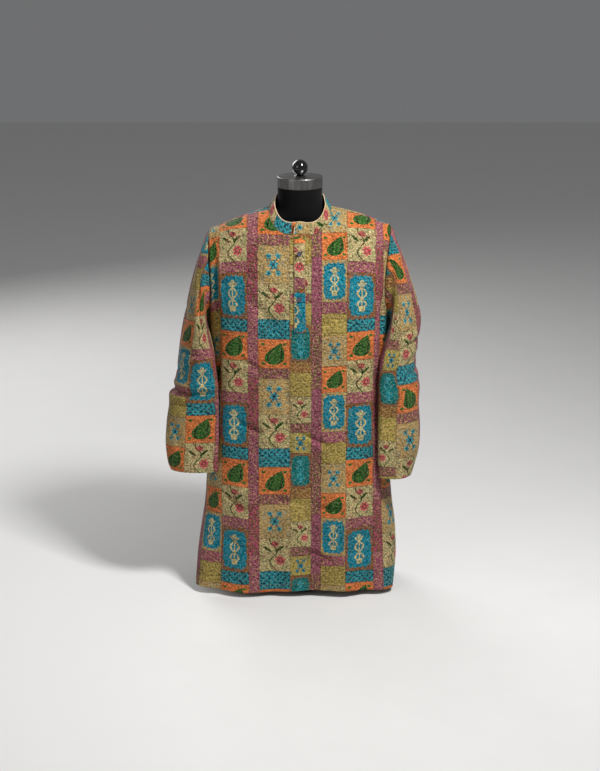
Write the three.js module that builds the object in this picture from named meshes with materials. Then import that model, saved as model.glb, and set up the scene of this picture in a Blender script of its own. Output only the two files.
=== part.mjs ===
// A long-sleeved kurta with a band collar and a half placket, worn by a limbless dress form that stands on a
// short pole and a round base. Millimetres, +Z up, front towards -Y, the wearer's left towards +X.
// The origin is the centre of the base's underside.
import * as THREE from 'three';
import { mergeVertices } from 'three/addons/utils/BufferGeometryUtils.js';

const { clamp, lerp, smoothstep, degToRad } = THREE.MathUtils;

// ---------------------------------------------------------------- driving dimensions

const GAP = 0.3;                 // between two pieces that meet at a seam
const CLOTH = 1.4;               // wall of the body and the sleeves
const BAND = 2.0;                // wall of the doubled cloth of the collar and the placket

const UNDERARM_Z = 755;          // level of the underarm points
const NECK_POINT_Z = 1040;       // level where shoulder seam and collar meet
const NECK_HALF_WIDTH = 82;
const NECK_DEPTH = { front: 84, back: 62 };
const NECK_POWER = { front: 3.4, back: 2 };            // squareness of the neckline seen from above
const SHOULDER_FALL = { left: 0.318, right: 0.387 };   // slope of the shoulder seams
const SHOULDER_BULGE = { left: 5.5, right: 3 };        // how far each seam rises above a straight line
const NECK_RISE = 0.15;          // slope of the cloth's ridge inside the neck
const SECTION_POWER = 2.6;       // squareness of the body seen from above
const CHEST_POWER = { front: 2.4, back: 3.0 };         // squareness of chest and back seen from the side
const HEM_Z = 16;
const SLIT_TOP_Z = 217;

const PLACKET_END_Z = 735;
const PLACKET_TOP_SHARE = 0.25;  // how far its top stays below the neckline, as a share of the last row
const BUTTON = { radius: 5.6, height: 2.6, rim: 0.8, dish: 0.7, sides: 20, zs: [939, 825] };
const COLLAR_CORNER = 12;        // radius of the rounded corner of the collar's upper end
const COLLAR_ROUNDING = 1.2;     // how far the band bulges between its edges
const COLLAR_LEVELS = [0, 0.34, 0.68, 1];
const COLLAR_UNDER_PLACES = [1, 0.5];                       // the lower end, in points of the neckline
const COLLAR_OVER_PLACES = [0, 0.35, 0.6, 0.8, 0.93, 1];    // the upper end, as shares of its last two columns

// Half-widths at the side seams, depths of front and back, and how far the two slit edges stand apart.
const BODY_ROWS = [
  { z: HEM_Z, left: 252, right: 283, front: 126, back: 120, fore: 74, aft: 38 },
  { z: 52, left: 256, right: 281, front: 126, back: 119, fore: 62, aft: 32 },
  { z: 95, left: 260, right: 278, front: 125, back: 118, fore: 46, aft: 24 },
  { z: 140, left: 260, right: 273, front: 125, back: 117, fore: 27, aft: 14 },
  { z: 180, left: 258, right: 267, front: 124, back: 116, fore: 11, aft: 6 },
  { z: SLIT_TOP_Z, left: 253, right: 261, front: 124, back: 114, fore: 0, aft: 0 },
  { z: 260, left: 248, right: 256, front: 123, back: 113, fore: 0, aft: 0 },
  { z: 315, left: 243, right: 252, front: 123, back: 111, fore: 0, aft: 0 },
  { z: 365, left: 236, right: 245, front: 122, back: 109, fore: 0, aft: 0 },
  { z: 430, left: 231, right: 238, front: 122, back: 107, fore: 0, aft: 0 },
  { z: 500, left: 229, right: 235, front: 121, back: 105, fore: 0, aft: 0 },
  { z: 570, left: 228, right: 234, front: 121, back: 104, fore: 0, aft: 0 },
  { z: 640, left: 228, right: 234, front: 121, back: 104, fore: 0, aft: 0 },
  { z: 695, left: 230, right: 236, front: 119.2, back: 106.2, fore: 0, aft: 0 },
  { z: PLACKET_END_Z, left: 231.4, right: 237.4, front: 118.3, back: 107.6, fore: 0, aft: 0 },
  { z: UNDERARM_Z, left: 232, right: 238, front: 118, back: 108, fore: 0, aft: 0 },
];

// The armholes from underarm (rise 0) to shoulder tip (rise 1): distance out from the middle, and the share
// of the body's half-width that it takes, which sets how deep the armhole is cut.
const ARMHOLE_ROWS = [
  { rise: 0, left: 232, right: 238, share: 1 },
  { rise: 0.03, left: 229, right: 236, share: 0.993 },
  { rise: 0.08, left: 226, right: 234, share: 0.98 },
  { rise: 0.2, left: 221, right: 232, share: 0.957 },
  { rise: 0.35, left: 219, right: 231, share: 0.947 },
  { rise: 0.5, left: 221, right: 232.5, share: 0.942 },
  { rise: 0.7, left: 226, right: 235, share: 0.936 },
  { rise: 0.85, left: 231, right: 236.5, share: 0.932 },
  { rise: 1, left: 236, right: 237, share: 0.93 },
];
const ARMHOLE_STEPS = 14;        // rows of cloth between underarm and shoulder

// Columns of cloth from the middle to one side: share of the half-width below the underarm, and the angle
// round the neck of those that run up to the collar. The first column is the placket's edge.
const COLUMN_SHARES = [0.068, 0.18, 0.3, 0.42, 0.53, 0.63, 0.715, 0.79, 0.855, 0.908, 0.95, 0.98, 0.995, 1];
const NECK_ANGLES = { left: [9.1, 25, 41, 57, 73, 90], right: [11.25, 26, 42, 58, 74, 90] };

// Folds of front and back: where each starts and ends, its half-breadth, and its height (a trough is negative).
const FRONT_FOLDS = [
  { x0: -205, z0: 960, x1: -208, z1: 560, breadth: 15, height: -6 },
  { x0: -186, z0: 800, x1: -190, z1: 340, breadth: 20, height: 3.5 },
  { x0: 200, z0: 800, x1: 197, z1: 420, breadth: 15, height: -4 },
  { x0: 172, z0: 700, x1: 168, z1: 300, breadth: 18, height: 3 },
  { x0: -128, z0: 520, x1: -152, z1: 0, breadth: 34, height: 6 },
  { x0: -62, z0: 430, x1: -72, z1: 0, breadth: 26, height: -4.5 },
  { x0: 24, z0: 560, x1: 30, z1: 0, breadth: 32, height: -5 },
  { x0: 96, z0: 500, x1: 117, z1: 0, breadth: 30, height: 6 },
  { x0: 168, z0: 380, x1: 182, z1: 0, breadth: 24, height: -5 },
  { x0: -215, z0: 300, x1: -226, z1: 0, breadth: 22, height: -5 },
];
const BACK_FOLDS = [
  { x0: -150, z0: 800, x1: -166, z1: 0, breadth: 30, height: -6 },
  { x0: -84, z0: 560, x1: -100, z1: 0, breadth: 32, height: 6 },
  { x0: -6, z0: 760, x1: 6, z1: 0, breadth: 36, height: -5 },
  { x0: 88, z0: 600, x1: 104, z1: 0, breadth: 32, height: 7 },
  { x0: 160, z0: 820, x1: 172, z1: 0, breadth: 28, height: -6 },
  { x0: -190, z0: 640, x1: -212, z1: 0, breadth: 20, height: 4 },
];
const FOLD_FADE = { share: 0.9, below: HEM_Z + 70 };   // folds die out towards the side seams

// Each sleeve's sections from shoulder to cuff: outer and inner edge, the middle's place and half-breadth
// from front to back, and how far the front is turned inwards.
const SLEEVE_ROWS = {
  left: [
    { outX: 250, outZ: 960, inX: 236, inZ: 747, midY: -3, halfY: 63, turn: 4 },
    { outX: 263, outZ: 925, inX: 232, inZ: 734, midY: -6, halfY: 69, turn: 8 },
    { outX: 280, outZ: 880, inX: 226, inZ: 714, midY: -10, halfY: 74, turn: 12 },
    { outX: 298, outZ: 826, inX: 220, inZ: 690, midY: -15, halfY: 77, turn: 15 },
    { outX: 313, outZ: 777, inX: 216, inZ: 666, midY: -19, halfY: 78, turn: 17 },
    { outX: 318, outZ: 742, inX: 213, inZ: 646, midY: -22, halfY: 77, turn: 18 },
    { outX: 314, outZ: 702, inX: 212, inZ: 625, midY: -25, halfY: 75, turn: 18 },
    { outX: 307, outZ: 665, inX: 212, inZ: 606, midY: -28, halfY: 71, turn: 17 },
    { outX: 307, outZ: 633, inX: 211, inZ: 588, midY: -31, halfY: 68, turn: 16 },
    { outX: 314, outZ: 598, inX: 211, inZ: 568, midY: -35, halfY: 66, turn: 16 },
    { outX: 318, outZ: 567, inX: 211, inZ: 546, midY: -38, halfY: 63, turn: 15 },
    { outX: 316, outZ: 524, inX: 211, inZ: 513, midY: -42, halfY: 59, turn: 15 },
    { outX: 319, outZ: 476, inX: 211, inZ: 472, midY: -46, halfY: 56, turn: 14 },
    { outX: 320, outZ: 427, inX: 211, inZ: 427, midY: -51, halfY: 52, turn: 13 },
    { outX: 316, outZ: 390, inX: 211, inZ: 391, midY: -54, halfY: 49, turn: 12 },
    { outX: 308, outZ: 360, inX: 212, inZ: 362, midY: -56, halfY: 47, turn: 10 },
    { outX: 299, outZ: 331, inX: 213, inZ: 334, midY: -57, halfY: 46, turn: 8 },
  ],
  right: [
    { outX: 251, outZ: 950, inX: 243, inZ: 747, midY: -3, halfY: 63, turn: 4 },
    { outX: 263, outZ: 914, inX: 239, inZ: 733, midY: -6, halfY: 69, turn: 8 },
    { outX: 278, outZ: 866, inX: 233, inZ: 712, midY: -10, halfY: 74, turn: 11 },
    { outX: 292, outZ: 812, inX: 229, inZ: 688, midY: -15, halfY: 77, turn: 14 },
    { outX: 303, outZ: 762, inX: 226, inZ: 664, midY: -19, halfY: 78, turn: 16 },
    { outX: 312, outZ: 715, inX: 225, inZ: 640, midY: -24, halfY: 76, turn: 17 },
    { outX: 319, outZ: 668, inX: 223, inZ: 617, midY: -29, halfY: 72, turn: 17 },
    { outX: 324, outZ: 630, inX: 222, inZ: 598, midY: -33, halfY: 67, turn: 17 },
    { outX: 328, outZ: 600, inX: 221, inZ: 580, midY: -37, halfY: 63, turn: 17 },
    { outX: 331, outZ: 575, inX: 220, inZ: 562, midY: -40, halfY: 58, turn: 16 },
    { outX: 336, outZ: 563, inX: 221, inZ: 552, midY: -42, halfY: 53, turn: 16 },
    { outX: 346, outZ: 550, inX: 220, inZ: 541, midY: -44, halfY: 51, turn: 16 },
    { outX: 347, outZ: 520, inX: 220, inZ: 513, midY: -48, halfY: 47, turn: 15 },
    { outX: 354, outZ: 475, inX: 220, inZ: 471, midY: -53, halfY: 42, turn: 15 },
    { outX: 358, outZ: 428, inX: 220, inZ: 428, midY: -58, halfY: 37, turn: 14 },
    { outX: 357, outZ: 392, inX: 221, inZ: 395, midY: -60, halfY: 34, turn: 13 },
    { outX: 353, outZ: 364, inX: 221, inZ: 368, midY: -61, halfY: 33, turn: 12 },
    { outX: 346, outZ: 345, inX: 222, inZ: 348, midY: -61, halfY: 32, turn: 11 },
  ],
};
const SLEEVE_CLEARANCE = 3;      // between a sleeve and the body that it hangs against
const CUFF_DIP = 2;              // how much lower the cuff hangs in front than at its sides

// Sections of the dress form from its underside to the top of the neck. The sides of a section lie lower
// than its middle by its drop, which makes the slope of the shoulders.
const FORM_ROWS = [
  { z: 388, wide: 128, front: 76, back: 80, midY: 0, drop: 0 },
  { z: 392, wide: 140, front: 85, back: 89, midY: 0, drop: 0 },
  { z: 420, wide: 151, front: 92, back: 95, midY: 0, drop: 0 },
  { z: 480, wide: 161, front: 97, back: 97, midY: 0, drop: 0 },
  { z: 560, wide: 154, front: 94, back: 92, midY: 0, drop: 0 },
  { z: 640, wide: 143, front: 90, back: 84, midY: 0, drop: 0 },
  { z: 720, wide: 152, front: 95, back: 88, midY: 0, drop: 0 },
  { z: 800, wide: 168, front: 101, back: 96, midY: 0, drop: 0 },
  { z: 860, wide: 182, front: 101, back: 98, midY: 0, drop: 0 },
  { z: 910, wide: 195, front: 93, back: 97, midY: 0, drop: 4 },
  { z: 948, wide: 204, front: 83, back: 92, midY: 0, drop: 12 },
  { z: 974, wide: 205, front: 72, back: 85, midY: 0, drop: 16 },
  { z: 993, wide: 196, front: 61, back: 76, midY: 0, drop: 13 },
  { z: 1002, wide: 170, front: 54, back: 67, midY: 0, drop: 4 },
  { z: 1008, wide: 138, front: 53, back: 60, midY: 0, drop: -4 },
  { z: 1014, wide: 102, front: 53, back: 54, midY: 0, drop: -7 },
  { z: 1022, wide: 77, front: 54, back: 50, midY: -2, drop: -8 },
  { z: 1034, wide: 66, front: 55, back: 50, midY: -4, drop: -7 },
  { z: 1052, wide: 59, front: 56, back: 53, midY: -8, drop: -2 },
  { z: 1076, wide: 57, front: 57, back: 56, midY: -12, drop: 0 },
  { z: 1096.7, wide: 57.5, front: 57.5, back: 57.5, midY: -15, drop: 0 },
];
const FORM_SIDES = 36;
const FORM_POWER = { torso: 2.35, neck: 2, changeZ: [990, 1060] };

const NECK_CAP = { radius: 58, bottomZ: 1097, topZ: 1124, edge: 1.6, y: -15, sides: 40 };
const KNOB = { radius: 20.5, centreZ: 1146, footRadius: 15, stemRadius: 9, steps: 10, sides: 28 };
const POLE = { radius: 16, sides: 28 };
const BASE = { radius: 96, height: 12, edge: 3, sides: 48 };

const FINISHES = {
  body: { color: 0xa8823f, roughness: 0.72, metalness: 0 },
  sleeve: { color: 0x9c7a4a, roughness: 0.72, metalness: 0 },
  trim: { color: 0xa9803c, roughness: 0.7, metalness: 0 },
  button: { color: 0x7d7280, roughness: 0.35, metalness: 0 },
  form: { color: 0x0c0c0d, roughness: 0.8, metalness: 0 },
  steel: { color: 0xb9b7b2, roughness: 0.32, metalness: 1 },
  gloss: { color: 0x050506, roughness: 0.06, metalness: 0 },
  coated: { color: 0x17181a, roughness: 0.45, metalness: 0.2 },
};

// ---------------------------------------------------------------- tables and curves

/** Value of one column of a table at a place along its key column, on a smooth curve through its rows. */
function column(rows, key, name, at) {
  let i = 0;
  while (i < rows.length - 2 && at > rows[i + 1][key]) i += 1;
  const a = rows[i];
  const b = rows[i + 1];
  const span = b[key] - a[key];
  const slope = (p, q) => (q[name] - p[name]) / (q[key] - p[key]);
  const inSlope = i > 0 ? (slope(rows[i - 1], a) + slope(a, b)) / 2 : slope(a, b);
  const outSlope = i < rows.length - 2 ? (slope(a, b) + slope(b, rows[i + 2])) / 2 : slope(a, b);
  const t = clamp((at - a[key]) / span, 0, 1);
  const s = 1 - t;
  return a[name] * (1 + 2 * t) * s * s + b[name] * (3 - 2 * t) * t * t
    + span * t * s * (inSlope * s - outSlope * t);
}

/** The other coordinate, from 0 to 1, of a superellipse's quarter. */
function quarter(share, power) {
  return (1 - Math.min(Math.abs(share), 1) ** power) ** (1 / power);
}

const sideOf = (x) => (x >= 0 ? 'left' : 'right');
const signOf = (side) => (side === 'left' ? 1 : -1);

/** Height of the cloth's ridge, the line of the two shoulder seams, above a place across the body. */
function ridgeZ(x) {
  const out = Math.abs(x) - NECK_HALF_WIDTH;
  if (out < 0) return NECK_POINT_Z - out * NECK_RISE;
  const side = sideOf(x);
  const length = ARMHOLE_ROWS.at(-1)[side] - NECK_HALF_WIDTH;
  const bulge = SHOULDER_BULGE[side] * Math.sin(Math.PI * Math.min(out / length, 1));
  return NECK_POINT_Z - out * SHOULDER_FALL[side] + bulge;
}

/** Sum of the folds at a place on a panel. A fold that reaches the hem grows towards it. */
function foldHeight(folds, x, z) {
  let sum = 0;
  for (const fold of folds) {
    const t = (fold.z0 - z) / (fold.z0 - fold.z1);
    if (t > 0 && t < 1) {
      const away = (x - lerp(fold.x0, fold.x1, t)) / fold.breadth;
      const growth = fold.z1 === 0 ? smoothstep(t, 0, 0.7) : Math.sin(Math.PI * t);
      sum += fold.height * growth * Math.exp(-away * away);
    }
  }
  return sum;
}

// ---------------------------------------------------------------- walls of cloth

/** Unit normals of a grid of points; wrap joins its last column to its first. */
function gridNormals(grid, wrap, flip) {
  return grid.map((row, j) => row.map((_, i) => {
    const count = row.length;
    const before = wrap ? (i + count - 1) % count : Math.max(i - 1, 0);
    const after = wrap ? (i + 1) % count : Math.min(i + 1, count - 1);
    const across = row[after].clone().sub(row[before]);
    const up = grid[Math.min(j + 1, grid.length - 1)][i].clone().sub(grid[Math.max(j - 1, 0)][i]);
    return across.cross(up).normalize().multiplyScalar(flip ? -1 : 1);
  }));
}

/** A closed wall between an outer and an inner grid of points. */
function wall(outer, inner, wrap, flip) {
  const rows = outer.length;
  const columns = outer[0].length;
  const points = [...outer.flat(), ...inner.flat()];
  const inside = rows * columns;
  const faces = [];
  const quad = (a, b, c, d) => (flip ? faces.push(a, c, b, a, d, c) : faces.push(a, b, c, a, c, d));
  const at = (j, i) => j * columns + (i % columns);
  const spans = wrap ? columns : columns - 1;
  for (let j = 0; j < rows - 1; j += 1) {
    for (let i = 0; i < spans; i += 1) {
      const [a, b, c, d] = [at(j, i), at(j, i + 1), at(j + 1, i + 1), at(j + 1, i)];
      quad(a, b, c, d);
      quad(inside + a, inside + d, inside + c, inside + b);
    }
  }
  const rim = (p, q) => quad(q, p, inside + p, inside + q);
  for (let i = 0; i < spans; i += 1) {
    rim(at(0, i), at(0, i + 1));
    rim(at(rows - 1, i + 1), at(rows - 1, i));
  }
  for (let j = 0; j < rows - 1 && !wrap; j += 1) {
    rim(at(j + 1, 0), at(j, 0));
    rim(at(j, columns - 1), at(j + 1, columns - 1));
  }
  return meshGeometry(points, faces);
}

/** An indexed geometry of points and triangles. */
function meshGeometry(points, faces) {
  const geometry = new THREE.BufferGeometry();
  geometry.setAttribute('position', new THREE.Float32BufferAttribute(points.flatMap((p) => p.toArray()), 3));
  geometry.setIndex(faces);
  geometry.computeVertexNormals();
  return geometry;
}

/** The grid moved along its normals. */
function moved(grid, normals, distance) {
  return grid.map((row, j) => row.map((p, i) => p.clone().addScaledVector(normals[j][i], distance)));
}

// ---------------------------------------------------------------- front and back

/** Names of the things that differ between front and back. */
const HALVES = {
  front: { facing: -1, folds: FRONT_FOLDS, edge: 'fore', flip: false },
  back: { facing: 1, folds: BACK_FOLDS, edge: 'aft', flip: true },
};

/** Point of a panel below the underarm, at a share of the half-width of one side. */
function lowerPoint(half, side, share, z) {
  const { facing, edge } = HALVES[half];
  const wide = column(BODY_ROWS, 'z', side, z);
  const deep = column(BODY_ROWS, 'z', half, z);
  const apart = column(BODY_ROWS, 'z', edge, z);
  const y = apart + (deep - apart) * quarter(share, SECTION_POWER);
  return new THREE.Vector3(signOf(side) * wide * share, facing * y, z);
}

/** Point of a panel above the underarm, at a step between it and the shoulder seam or the neckline. */
function upperPoint(half, side, columnNumber, step) {
  const power = CHEST_POWER[half];
  const rise = (1 - Math.cos(Math.PI * step / ARMHOLE_STEPS)) / 2;
  const shareHere = lerp(COLUMN_SHARES[columnNumber], topShare(side, columnNumber), smoothstep(rise, 0, 1));
  const edgeX = column(ARMHOLE_ROWS, 'rise', side, rise);
  const x = edgeX * shareHere;
  const acrossShare = shareHere * column(ARMHOLE_ROWS, 'rise', 'share', rise);
  const deep = column(BODY_ROWS, 'z', half, UNDERARM_Z) * quarter(acrossShare, SECTION_POWER);
  const angle = Math.asin(rise ** (power / 2)) * topAngle(half, side, columnNumber, deep) / (Math.PI / 2);
  const up = Math.sin(angle) ** (2 / power);
  const y = deep * Math.max(Math.cos(angle), 0) ** (2 / power);
  const signedX = signOf(side) * x;
  const z = UNDERARM_Z + (ridgeZ(signedX) - UNDERARM_Z) * up;
  return new THREE.Vector3(signedX, HALVES[half].facing * y, z);
}

/** Where a column of cloth ends at the top, as a share of the armhole's distance out. */
function topShare(side, columnNumber) {
  const tip = ARMHOLE_ROWS.at(-1)[side];
  const angles = NECK_ANGLES[side];
  if (columnNumber < angles.length) {
    return NECK_HALF_WIDTH * Math.sin(degToRad(angles[columnNumber])) / tip;
  }
  const beyond = (columnNumber + 1 - angles.length) / (COLUMN_SHARES.length - angles.length);
  return lerp(NECK_HALF_WIDTH / tip, 1, beyond);
}

/** How far up the body's curve a column of cloth reaches: to the ridge, or only to the neckline. */
function topAngle(half, side, columnNumber, deep) {
  const angles = NECK_ANGLES[side];
  if (columnNumber >= angles.length - 1) return Math.PI / 2;
  const neckY = NECK_DEPTH[half] * quarter(Math.sin(degToRad(angles[columnNumber])), NECK_POWER[half]);
  return Math.acos(clamp(neckY / deep, 0, 1) ** (CHEST_POWER[half] / 2));
}

/** The row of points from the right side, across the middle, to the left side. */
function panelRow(pointAt) {
  const last = COLUMN_SHARES.length - 1;
  const right = COLUMN_SHARES.map((_, i) => pointAt('right', last - i));
  const left = COLUMN_SHARES.map((_, i) => pointAt('left', i));
  const middle = right[last].clone().lerp(left[0], 0.5);
  middle.y += (middle.y - (right[last - 1].y + left[1].y) / 2) * 0.12;
  return [...right, middle, ...left];
}

/** Outer points of a panel, from hem to top, with its folds. */
function panelGrid(half) {
  const grid = BODY_ROWS.map((row) => panelRow((side, i) => lowerPoint(half, side, COLUMN_SHARES[i], row.z)));
  for (let step = 1; step <= ARMHOLE_STEPS; step += 1) {
    grid.push(panelRow((side, i) => upperPoint(half, side, i, step)));
  }
  const { facing, folds, flip } = HALVES[half];
  const normals = gridNormals(grid, false, flip);
  const last = grid[0].length - 1;
  grid.forEach((row, j) => row.forEach((point, i) => {
    const share = Math.abs(i - last / 2) / (last / 2);
    const atHem = 1 - smoothstep(point.z, HEM_Z, FOLD_FADE.below);
    const fade = Math.max(1 - smoothstep(share, FOLD_FADE.share - 0.2, FOLD_FADE.share), atHem * (1 - share));
    point.addScaledVector(normals[j][i], foldHeight(folds, point.x, point.z) * fade);
    const onSeam = Math.abs(point.y) < 1e-6;
    if (onSeam) point.y = facing * GAP / 2;
  }));
  return grid;
}

/** Normals of a panel; where it meets the other panel they have no part towards that one. */
function panelNormals(half, grid) {
  const normals = gridNormals(grid, false, HALVES[half].flip);
  grid.forEach((row, j) => row.forEach((point, i) => {
    if (Math.abs(Math.abs(point.y) - GAP / 2) < 1e-6) normals[j][i].setY(0).normalize();
  }));
  return normals;
}

const PANELS = Object.fromEntries(Object.keys(HALVES).map((half) => {
  const grid = panelGrid(half);
  return [half, { grid, normals: panelNormals(half, grid) }];
}));

function panel(half) {
  const { grid, normals } = PANELS[half];
  return wall(grid, moved(grid, normals, -CLOTH), false, HALVES[half].flip);
}

// ---------------------------------------------------------------- sleeves

const SLEEVE_COLUMNS = 2 * ARMHOLE_STEPS;

/** The armhole's points and the body's normals there, from the shoulder tip round the front and back. */
function armhole(side) {
  const points = [];
  const normals = [];
  const firstRow = BODY_ROWS.length - 1;
  const lastColumn = side === 'left' ? PANELS.front.grid[0].length - 1 : 0;
  for (let k = 0; k < SLEEVE_COLUMNS; k += 1) {
    const half = k <= ARMHOLE_STEPS ? 'front' : 'back';
    const step = Math.abs(ARMHOLE_STEPS - k);
    const point = PANELS[half].grid[firstRow + step][lastColumn].clone();
    const normal = PANELS[half].normals[firstRow + step][lastColumn].clone();
    if (k === 0 || step === 0) point.y = 0;
    if (step === 0) normal.set(signOf(side), 0, 0);
    points.push(point);
    normals.push(normal);
  }
  return { points, normals };
}

/** The direction in which the sleeve leaves the armhole at each point. */
function leaving({ points, normals }, side) {
  return points.map((_, k) => {
    const next = points[(k + 1) % SLEEVE_COLUMNS];
    const before = points[(k + SLEEVE_COLUMNS - 1) % SLEEVE_COLUMNS];
    const along = next.clone().sub(before).normalize();
    return normals[k].clone().cross(along).normalize().multiplyScalar(signOf(side));
  });
}

/** Half-width of the body at a depth and height, for the sleeve that hangs against it. */
function bodySideX(side, y, z) {
  const low = Math.min(z, UNDERARM_Z);
  const half = y < 0 ? 'front' : 'back';
  const deep = column(BODY_ROWS, 'z', half, low);
  return column(BODY_ROWS, 'z', side, low) * quarter(y / deep, SECTION_POWER);
}

/** Point of a sleeve on one of its sections; the angle starts at the outer edge and goes by the front. */
function sleevePoint(side, row, angle, dip) {
  const half = new THREE.Vector2((row.outX - row.inX) / 2, (row.outZ - row.inZ) / 2);
  const reach = half.length();
  const long = Math.sqrt(reach * reach - row.turn * row.turn);
  const out = (long * Math.cos(angle) - row.turn * Math.sin(angle)) / reach;
  const y = row.midY - row.halfY * Math.sin(angle);
  let x = (row.outX + row.inX) / 2 + half.x * out;
  const z = (row.outZ + row.inZ) / 2 + half.y * out - dip * Math.max(Math.sin(angle), 0);
  const bare = bodySideX(side, y, z) + SLEEVE_CLEARANCE;
  if (Math.abs(y) < 118 && z < UNDERARM_Z + 60) x = Math.max(x, bare);
  return new THREE.Vector3(signOf(side) * x, y, z);
}

function sleeve(side) {
  const hole = armhole(side);
  const away = leaving(hole, side);
  const first = hole.points.map((p, k) => p.clone().addScaledVector(away[k], GAP));
  const rows = SLEEVE_ROWS[side];
  const grid = [first];
  rows.forEach((row, n) => {
    const dip = CUFF_DIP * smoothstep(n, rows.length - 5, rows.length - 1);
    const angles = first.map((_, k) => 2 * Math.PI * k / SLEEVE_COLUMNS);
    grid.push(angles.map((angle) => sleevePoint(side, row, angle, dip)));
  });
  const flip = side === 'right';
  const normals = gridNormals(grid, true, flip);
  normals[0].forEach((normal, k) => normal.addScaledVector(away[k], -normal.dot(away[k])).normalize());
  return wall(grid, moved(grid, normals, -CLOTH), true, flip);
}

// ---------------------------------------------------------------- collar and placket

/** The neckline round the neck, from the middle of the front by the wearer's left and back. */
function neckline() {
  const top = (half) => PANELS[half].grid.at(-1);
  const middle = COLUMN_SHARES.length;
  const reach = NECK_ANGLES.left.length;
  const ring = [];
  for (let i = 0; i <= reach; i += 1) ring.push(top('front')[middle + i].clone());
  for (let i = reach - 1; i >= -reach; i -= 1) ring.push(top('back')[middle + i].clone());
  for (let i = -reach + 1; i < 0; i += 1) ring.push(top('front')[middle + i].clone());
  return ring;
}

/** How the collar leans in and how tall it stands at a place round the neck. */
function collarRise(point) {
  const toFront = clamp(-point.y / NECK_DEPTH.front, -1, 1);
  const lean = toFront > 0 ? lerp(20, 13, toFront) : lerp(20, 9, -toFront);
  const round = new THREE.Vector3(-point.x, -point.y, 0).normalize();
  return round.multiplyScalar(lean).setZ(toFront > 0 ? lerp(31, 29, toFront) : lerp(31, 33, -toFront));
}

/** A place on the neckline, counted in its points, between two of them. */
function onNeckline(ring, place) {
  const low = Math.floor(place);
  const wrapped = (n) => ring[((n % ring.length) + ring.length) % ring.length];
  return wrapped(low).clone().lerp(wrapped(low + 1), place - low);
}

/** The collar band: it starts at its lower end, goes round the neck and laps over itself in front. */
function collar() {
  const ring = neckline();
  const overEnd = -ring.length - 1;
  const places = [...COLLAR_UNDER_PLACES];
  for (let place = 0; place > -ring.length; place -= 1) places.push(place);
  places.push(...COLLAR_OVER_PLACES.map((share) => lerp(-ring.length, overEnd, share)));
  const lapWidth = ring[1].x - ring.at(-1).x;
  const grid = COLLAR_LEVELS.map((level) => places.map((place) => {
    const foot = onNeckline(ring, place);
    const rise = collarRise(foot);
    const fromEnd = Math.min((place - overEnd) * lapWidth / 2, COLLAR_CORNER);
    const cut = COLLAR_CORNER - Math.sqrt(COLLAR_CORNER ** 2 - (COLLAR_CORNER - fromEnd) ** 2);
    const height = rise.length();
    const up = GAP + level * (height - GAP - cut);
    const under = 1 - smoothstep(-place, 1, 4);
    const inward = new THREE.Vector3(-foot.x, -foot.y, 0).normalize();
    const shift = under * (BAND + GAP) - COLLAR_ROUNDING * Math.sin(Math.PI * level);
    return foot.addScaledVector(rise, up / height).addScaledVector(inward, shift);
  }));
  return wall(grid, moved(grid, gridNormals(grid, false, true), -BAND), false, true);
}

/** The placket strip, on the points of the front's middle columns, moved out. */
function placket() {
  const { grid, normals } = PANELS.front;
  const middle = COLUMN_SHARES.length;
  const low = BODY_ROWS.findIndex((row) => row.z === PLACKET_END_Z);
  const strip = (from, distance) => from.slice(low).map((row, j, rows) => {
    const below = rows[Math.max(j - 1, 0)];
    return row.slice(middle - 1, middle + 2).map((point, i) => {
      const place = point.clone().addScaledVector(normals[low + j][middle - 1 + i], distance);
      if (j < rows.length - 1) return place;
      const foot = below[middle - 1 + i].clone().addScaledVector(normals[low + j - 1][middle - 1 + i], distance);
      return place.lerp(foot, PLACKET_TOP_SHARE);
    });
  });
  return wall(strip(grid, GAP + BAND), strip(grid, GAP), false, false);
}

/** A shirt button on the placket, at one height. */
function button(z) {
  const { grid, normals } = PANELS.front;
  const middle = COLUMN_SHARES.length;
  const j = grid.findIndex((row) => row[middle].z > z);
  const [below, above] = [grid[j - 1][middle], grid[j][middle]];
  const t = (z - below.z) / (above.z - below.z);
  const facing = normals[j - 1][middle].clone().lerp(normals[j][middle], t).normalize();
  const { radius, height, rim, dish } = BUTTON;
  const profile = [[0, 0], [radius - rim, 0], [radius, rim], [radius, height - rim], [radius - rim, height],
    [radius - 2 * rim, height], [radius - 3 * rim, height - dish], [0, height - dish]];
  const geometry = new THREE.LatheGeometry(profile.map(([x, y]) => new THREE.Vector2(x, y)), BUTTON.sides);
  const turn = new THREE.Quaternion().setFromUnitVectors(new THREE.Vector3(0, 1, 0), facing);
  const place = below.clone().lerp(above, t).addScaledVector(facing, 2 * GAP + BAND);
  geometry.applyQuaternion(turn).translate(place.x, place.y, place.z);
  return geometry;
}

// ---------------------------------------------------------------- dress form and stand

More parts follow.
